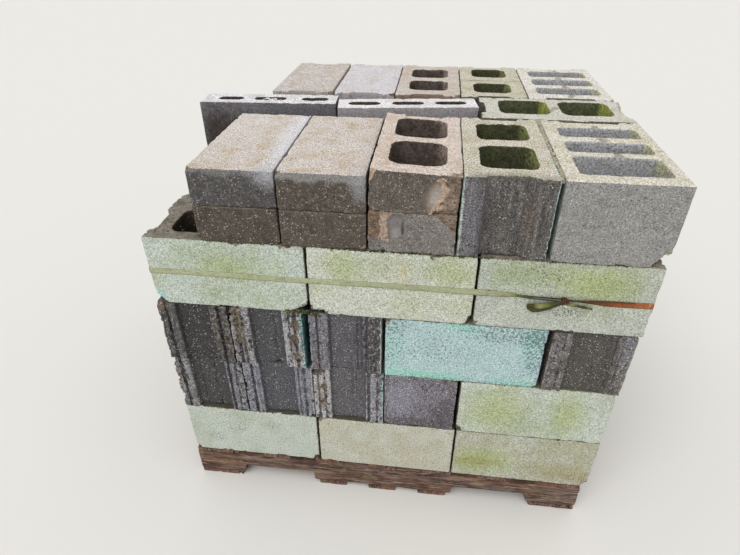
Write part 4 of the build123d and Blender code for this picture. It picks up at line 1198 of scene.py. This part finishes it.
def webbing_piece(name, node, lines, width, thickness, low, high, closed=False):
    """Webbing along smooth lines, as one piece that stands for its node and stays within its limits."""
    first, edges = 0, []
    for line in lines:
        edges += [(first + i, first + i + 1) for i in range(len(line) - 1)]
        if closed:
            edges.append((first + len(line) - 1, first))
        first += len(line)
    rows = np.concatenate(lines)
    piece = grown(name, rows[:, :3], edges, {"turn": rows[:, 3], "share": rows[:, 4], "tint": rows[:, 5]},
                  webbing_tree(webbing), {"Width": width * MM, "Thickness": thickness * MM})
    places = np.empty(len(piece.data.vertices) * 3, np.float32)
    piece.data.vertices.foreach_get("co", places)
    places = np.clip(places.reshape(-1, 3), (np.array(low) + SHIFT) * MM, (np.array(high) + SHIFT) * MM)
    piece.data.vertices.foreach_set("co", places.astype(np.float32).ravel())
    piece.data.update()
    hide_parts(node)
    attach(piece, "root")


webbing = finish_webbing()

# The strap runs level round course 4; on the front it narrows, twists into the knot and comes out rusty
FLAT = 0.0
front_run = smooth_line([(x, -0.7, 682 + lift, turn, share, tint) for x, lift, turn, share, tint in (
    (-603, 0, FLAT, 1.0, 0.02), (-450, 1, FLAT, 1.0, 0.0), (-300, -1, FLAT, 1.0, 0.03),
    (-150, 0, FLAT, 0.95, 0.0), (0, 1, FLAT, 1.0, 0.04), (120, 0, FLAT, 1.0, 0.03), (220, 0, FLAT, 1.1, 0.05),
    (275, -1, 0.1, 0.95, 0.1), (305, -2, 0.3, 0.6, 0.18), (345, -3, 0.6, 0.42, 0.28),
    (392, -4, 0.6, 0.5, 0.35), (420, -6, 0.6, 0.45, 0.38), (450, -8, 0.4, 0.5, 0.42),
    (475, -8, 0.2, 0.7, 0.44), (500, -8.5, FLAT, 0.9, 0.5), (525, -8, FLAT, 1.0, 0.56),
    (550, -7.5, FLAT, 1.05, 0.6), (575, -7, FLAT, 1.05, 0.66), (603.5, -6.5, FLAT, 1.05, 0.7))], 14)
rest = smooth_line([(x, y, z, FLAT, 1, tint) for x, y, z, tint in (
    (604.2, 3, 676, 0.6), (604.3, 60, 678, 0.2), (604.3, 300, 681, 0.05), (604.3, 600, 683, 0.02),
    (604.3, 993, 682, 0.05), (600, 997.6, 682, 0.05), (300, 997.6, 681, 0.0), (0, 997.6, 683, 0.04),
    (-300, 997.6, 682, 0.0), (-600, 997.6, 682, 0.03), (-604.3, 993, 682, 0.03), (-604.3, 600, 681, 0.0),
    (-604.3, 300, 683, 0.05), (-604.3, 3, 682, 0.02))], 14)
webbing_piece("webbing_strap", "strap", [np.vstack((front_run, rest))], 15, 1.1, (-604.9, -1.6, 660),
              (604.9, 998.2, 690), closed=True)

# Knot: a round turn about the strap, a flattened loop that hangs to the left, an arm above it, a twisted
# tail, the strap's folded upper edge, dark with dirt and painted shade, and loose threads
round_turn = [(399 + 0.8 * i, -7.5 + 6.5 * math.cos(a), 677 + 8 * math.sin(a), 0.2, 0.4, 0.4)
              for i, a in enumerate(math.pi / 3 * step for step in range(14))]
loop = [(400, -7, 671, 0.2, 0.5, 0.28), (388, -8, 666, 0.2, 0.7, 0.31), (372, -7, 658, 0.2, 0.95, 0.3),
        (354, -6, 650, 0.2, 1.05, 0.32), (338, -5, 646, 0.3, 0.9, 0.31), (326, -5, 655, 0.3, 0.6, 0.32),
        (334, -8, 660, 0.3, 0.7, 0.3), (350, -10, 661, 0.2, 0.9, 0.14), (366, -11, 666, 0.2, 0.85, 0.22),
        (386, -12, 674, 0.2, 0.6, 0.27), (402, -12, 678, 0.2, 0.45, 0.36)]
upper_arm = [(296, -3, 680, 0.5, 0.3, 0.22), (330, -6, 679, 0.6, 0.35, 0.3), (365, -8, 679, 0.7, 0.4, 0.32),
             (398, -11, 679, 0.6, 0.45, 0.34)]
tail = [(408, -11, 677, 0.3, 0.5, 0.36), (420, -9, 671, 0.5, 0.75, 0.14), (436, -7, 666, 0.9, 0.8, 0.3),
        (451, -6, 663, 1.2, 0.8, 0.36), (464, -5, 661, 0.8, 0.6, 0.2), (471, -5, 659, 0.4, 0.35, 0.4)]
# Dark tints along the upper edge: dirt together with painted shade
upper_edge = [(408, -9, 680, 0.4, 0.3, 0.4), (440, -5, 679.5, 0.4, 0.3, 0.42),
              (480, -2.6, 680, 0.2, 0.32, 0.4), (520, -2.2, 681, 0.1, 0.3, 0.42),
              (560, -2.0, 681, 0.1, 0.2, 0.46)]
threads = [[(468, -4, 662, 0, 0.14, 0.92), (470, -3, 652, 0, 0.13, 0.95), (467, -3, 640, 0, 0.12, 0.95),
            (461, -3, 618, 0, 0.1, 0.95)],
           [(468, -4, 662, 0, 0.15, 0.95), (475, -3, 656, 0, 0.13, 0.95), (477, -3, 650, 0, 0.1, 0.95)],
           [(404, -15, 670, 0, 0.22, 0.9), (411, -15, 667, 0, 0.2, 0.92)]]
knot_lines = [smooth_line(line, 8) for line in (round_turn, loop, upper_arm, tail, upper_edge)]
knot_lines += [smooth_line(line, 6) for line in threads]
webbing_piece("webbing_knot", "strap_knot", knot_lines, 13, 5.5, (290, -16.1, 612), (562, -0.9, 695.4))

# Nails: steel wire heads, rusted to a dull brown
NAIL_SIZES = {"Head Radius": 4.2 * MM, "Head Height": 1.4 * MM}
WIDE_BOARD = 120
nail_steel, tree = new_material("rusted_wire_nail")
place = own_place(tree)
rough_surface(tree, place, patches(tree, place, "#5a3f2e", "#7d5136", 3, 0.4, 0.1), 2.0, 0.2, 0.75)
nail_points = [(x + across * width, y + 9 * (across - 0.5), -1.2 if node.startswith("top") else -119.8)
               for node, x, width, z in boards for y in (19, 500, 981)
               for across in ((0.25, 0.75) if width < WIDE_BOARD else (0.15, 0.5, 0.85))]
nails = grown("pallet_nails", nail_points, [], {}, nail_tree(nail_steel, NAIL_SIZES), NAIL_SIZES)
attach(nails, "root")

# Crumbs: dull green moss and dark soil in the joints and in two bites out of course 4's lower edge, their
# darkness there also painted shade; grey sand and mortar fallen from the wide block. Each row is a count, the
# ranges of x, y and z and the largest size in mm
CRUMB_RADIUS = 1.0 * MM
moss_soil_and_shade, tree = new_material("moss_soil_and_painted_shade_crumbs")
place = own_place(tree)
moss = layered(tree, place, "#3a3a22", (patches, "#5d6036", 9, 0.4, 0.08), (patches, "#8d8570", 6, 0.2, 0.06))
rough_surface(tree, place, moss, 3.0, 0.6)
sand = broken_concrete("sand_and_mortar_crumbs", "#c2b9a3", "#ddd5c2", "#8f8674", 0.6)
rng = np.random.default_rng(5)
crumbs = []
for count, x0, x1, y0, y1, z0, z1, large in (
        (260, -140, 230, -1.5, 3.5, 774.5, 779, 2.4), (90, 230, 520, -1.0, 3.5, 774.5, 778, 1.8),
        (60, -455, -140, -1.0, 3.0, 774.5, 778, 1.6), (60, -600, 590, -1.0, 2.0, 580.5, 583, 1.8),
        (60, -600, 590, -1.0, 2.0, 386.5, 389, 1.6), (50, -600, 590, -1.0, 2.0, 192.5, 195, 1.6),
        # The last two rows fill the bites in course 4's lower edge with dark crumbs: soil together with
        # painted shade
        (70, -598, -460, 4, 396, 776, 777.5, 2.0), (110, -264, -203, -1.0, 5, 577, 588, 3.2),
        (60, -198, -168, -0.5, 6, 572, 584, 3.0)):
    for _ in range(count):
        size = large * rng.uniform(0.45, 1.0)
        crumbs.append((rng.uniform(x0, x1), rng.uniform(y0, y1), rng.uniform(z0, z1), size))
grains = [(rng.uniform(347, 353), rng.uniform(10, 398), rng.uniform(957, 968), 5.2 * rng.uniform(0.5, 1.0))
          for _ in range(460)]
for name, made, look in (("joint_crumbs", crumbs, moss_soil_and_shade), ("sand_crumbs", grains, sand)):
    made = np.array(made)
    sizes = made[:, 3:] * rng.uniform(0.7, 1.3, (len(made), 3))
    grit = grown(name, made[:, :3], [], {"size": sizes}, crumb_tree(name, look), {"Radius": CRUMB_RADIUS})
    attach(grit, "root")

# Floor of matt pale paint, a soft sky and one broad lamp, and the photo's view
FLOOR_HALF = 20
SKY_STRENGTH, LAMP_STRENGTH, LAMP_WIDTH = 0.75, 1.1, 40
LAMP_TURN = (32, -18, 0)
material, tree = new_material("pale_studio_floor")
add(tree, "OutputMaterial", {0: add(tree, "BsdfPrincipled", {"Base Color": "#e9e7e2", "Roughness": 0.9})})
floor_corners = [(x * FLOOR_HALF, y * FLOOR_HALF, 0) for x, y in ((-1, -1), (1, -1), (1, 1), (-1, 1))]
floor = mesh_object("studio_floor", floor_corners, np.array([(0, 1, 2, 3)]), [material], smooth=False)
world = bpy.data.worlds.new("soft_studio")
bpy.context.scene.world = world
world.use_nodes = True
world.node_tree.nodes.clear()
sky = add(world.node_tree, "Background", {"Color": (1, 1, 1, 1), "Strength": SKY_STRENGTH})
add(world.node_tree, "OutputWorld", {0: sky})
lamp = bpy.data.lights.new("soft_key", "SUN")
lamp.energy = LAMP_STRENGTH
lamp.angle = math.radians(LAMP_WIDTH)
put_in_scene("soft_key", lamp).rotation_euler = [math.radians(a) for a in LAMP_TURN]
view = bpy.data.cameras.new("photo_view")
view.lens = CAMERA_LENS
view.sensor_width = CAMERA_SENSOR
camera = put_in_scene("photo_view", view)
camera.location = CAMERA_PLACE
camera.rotation_euler = [math.radians(a) for a in CAMERA_TURN]
bpy.context.scene.camera = camera
bpy.context.scene.view_settings.view_transform = "Standard"
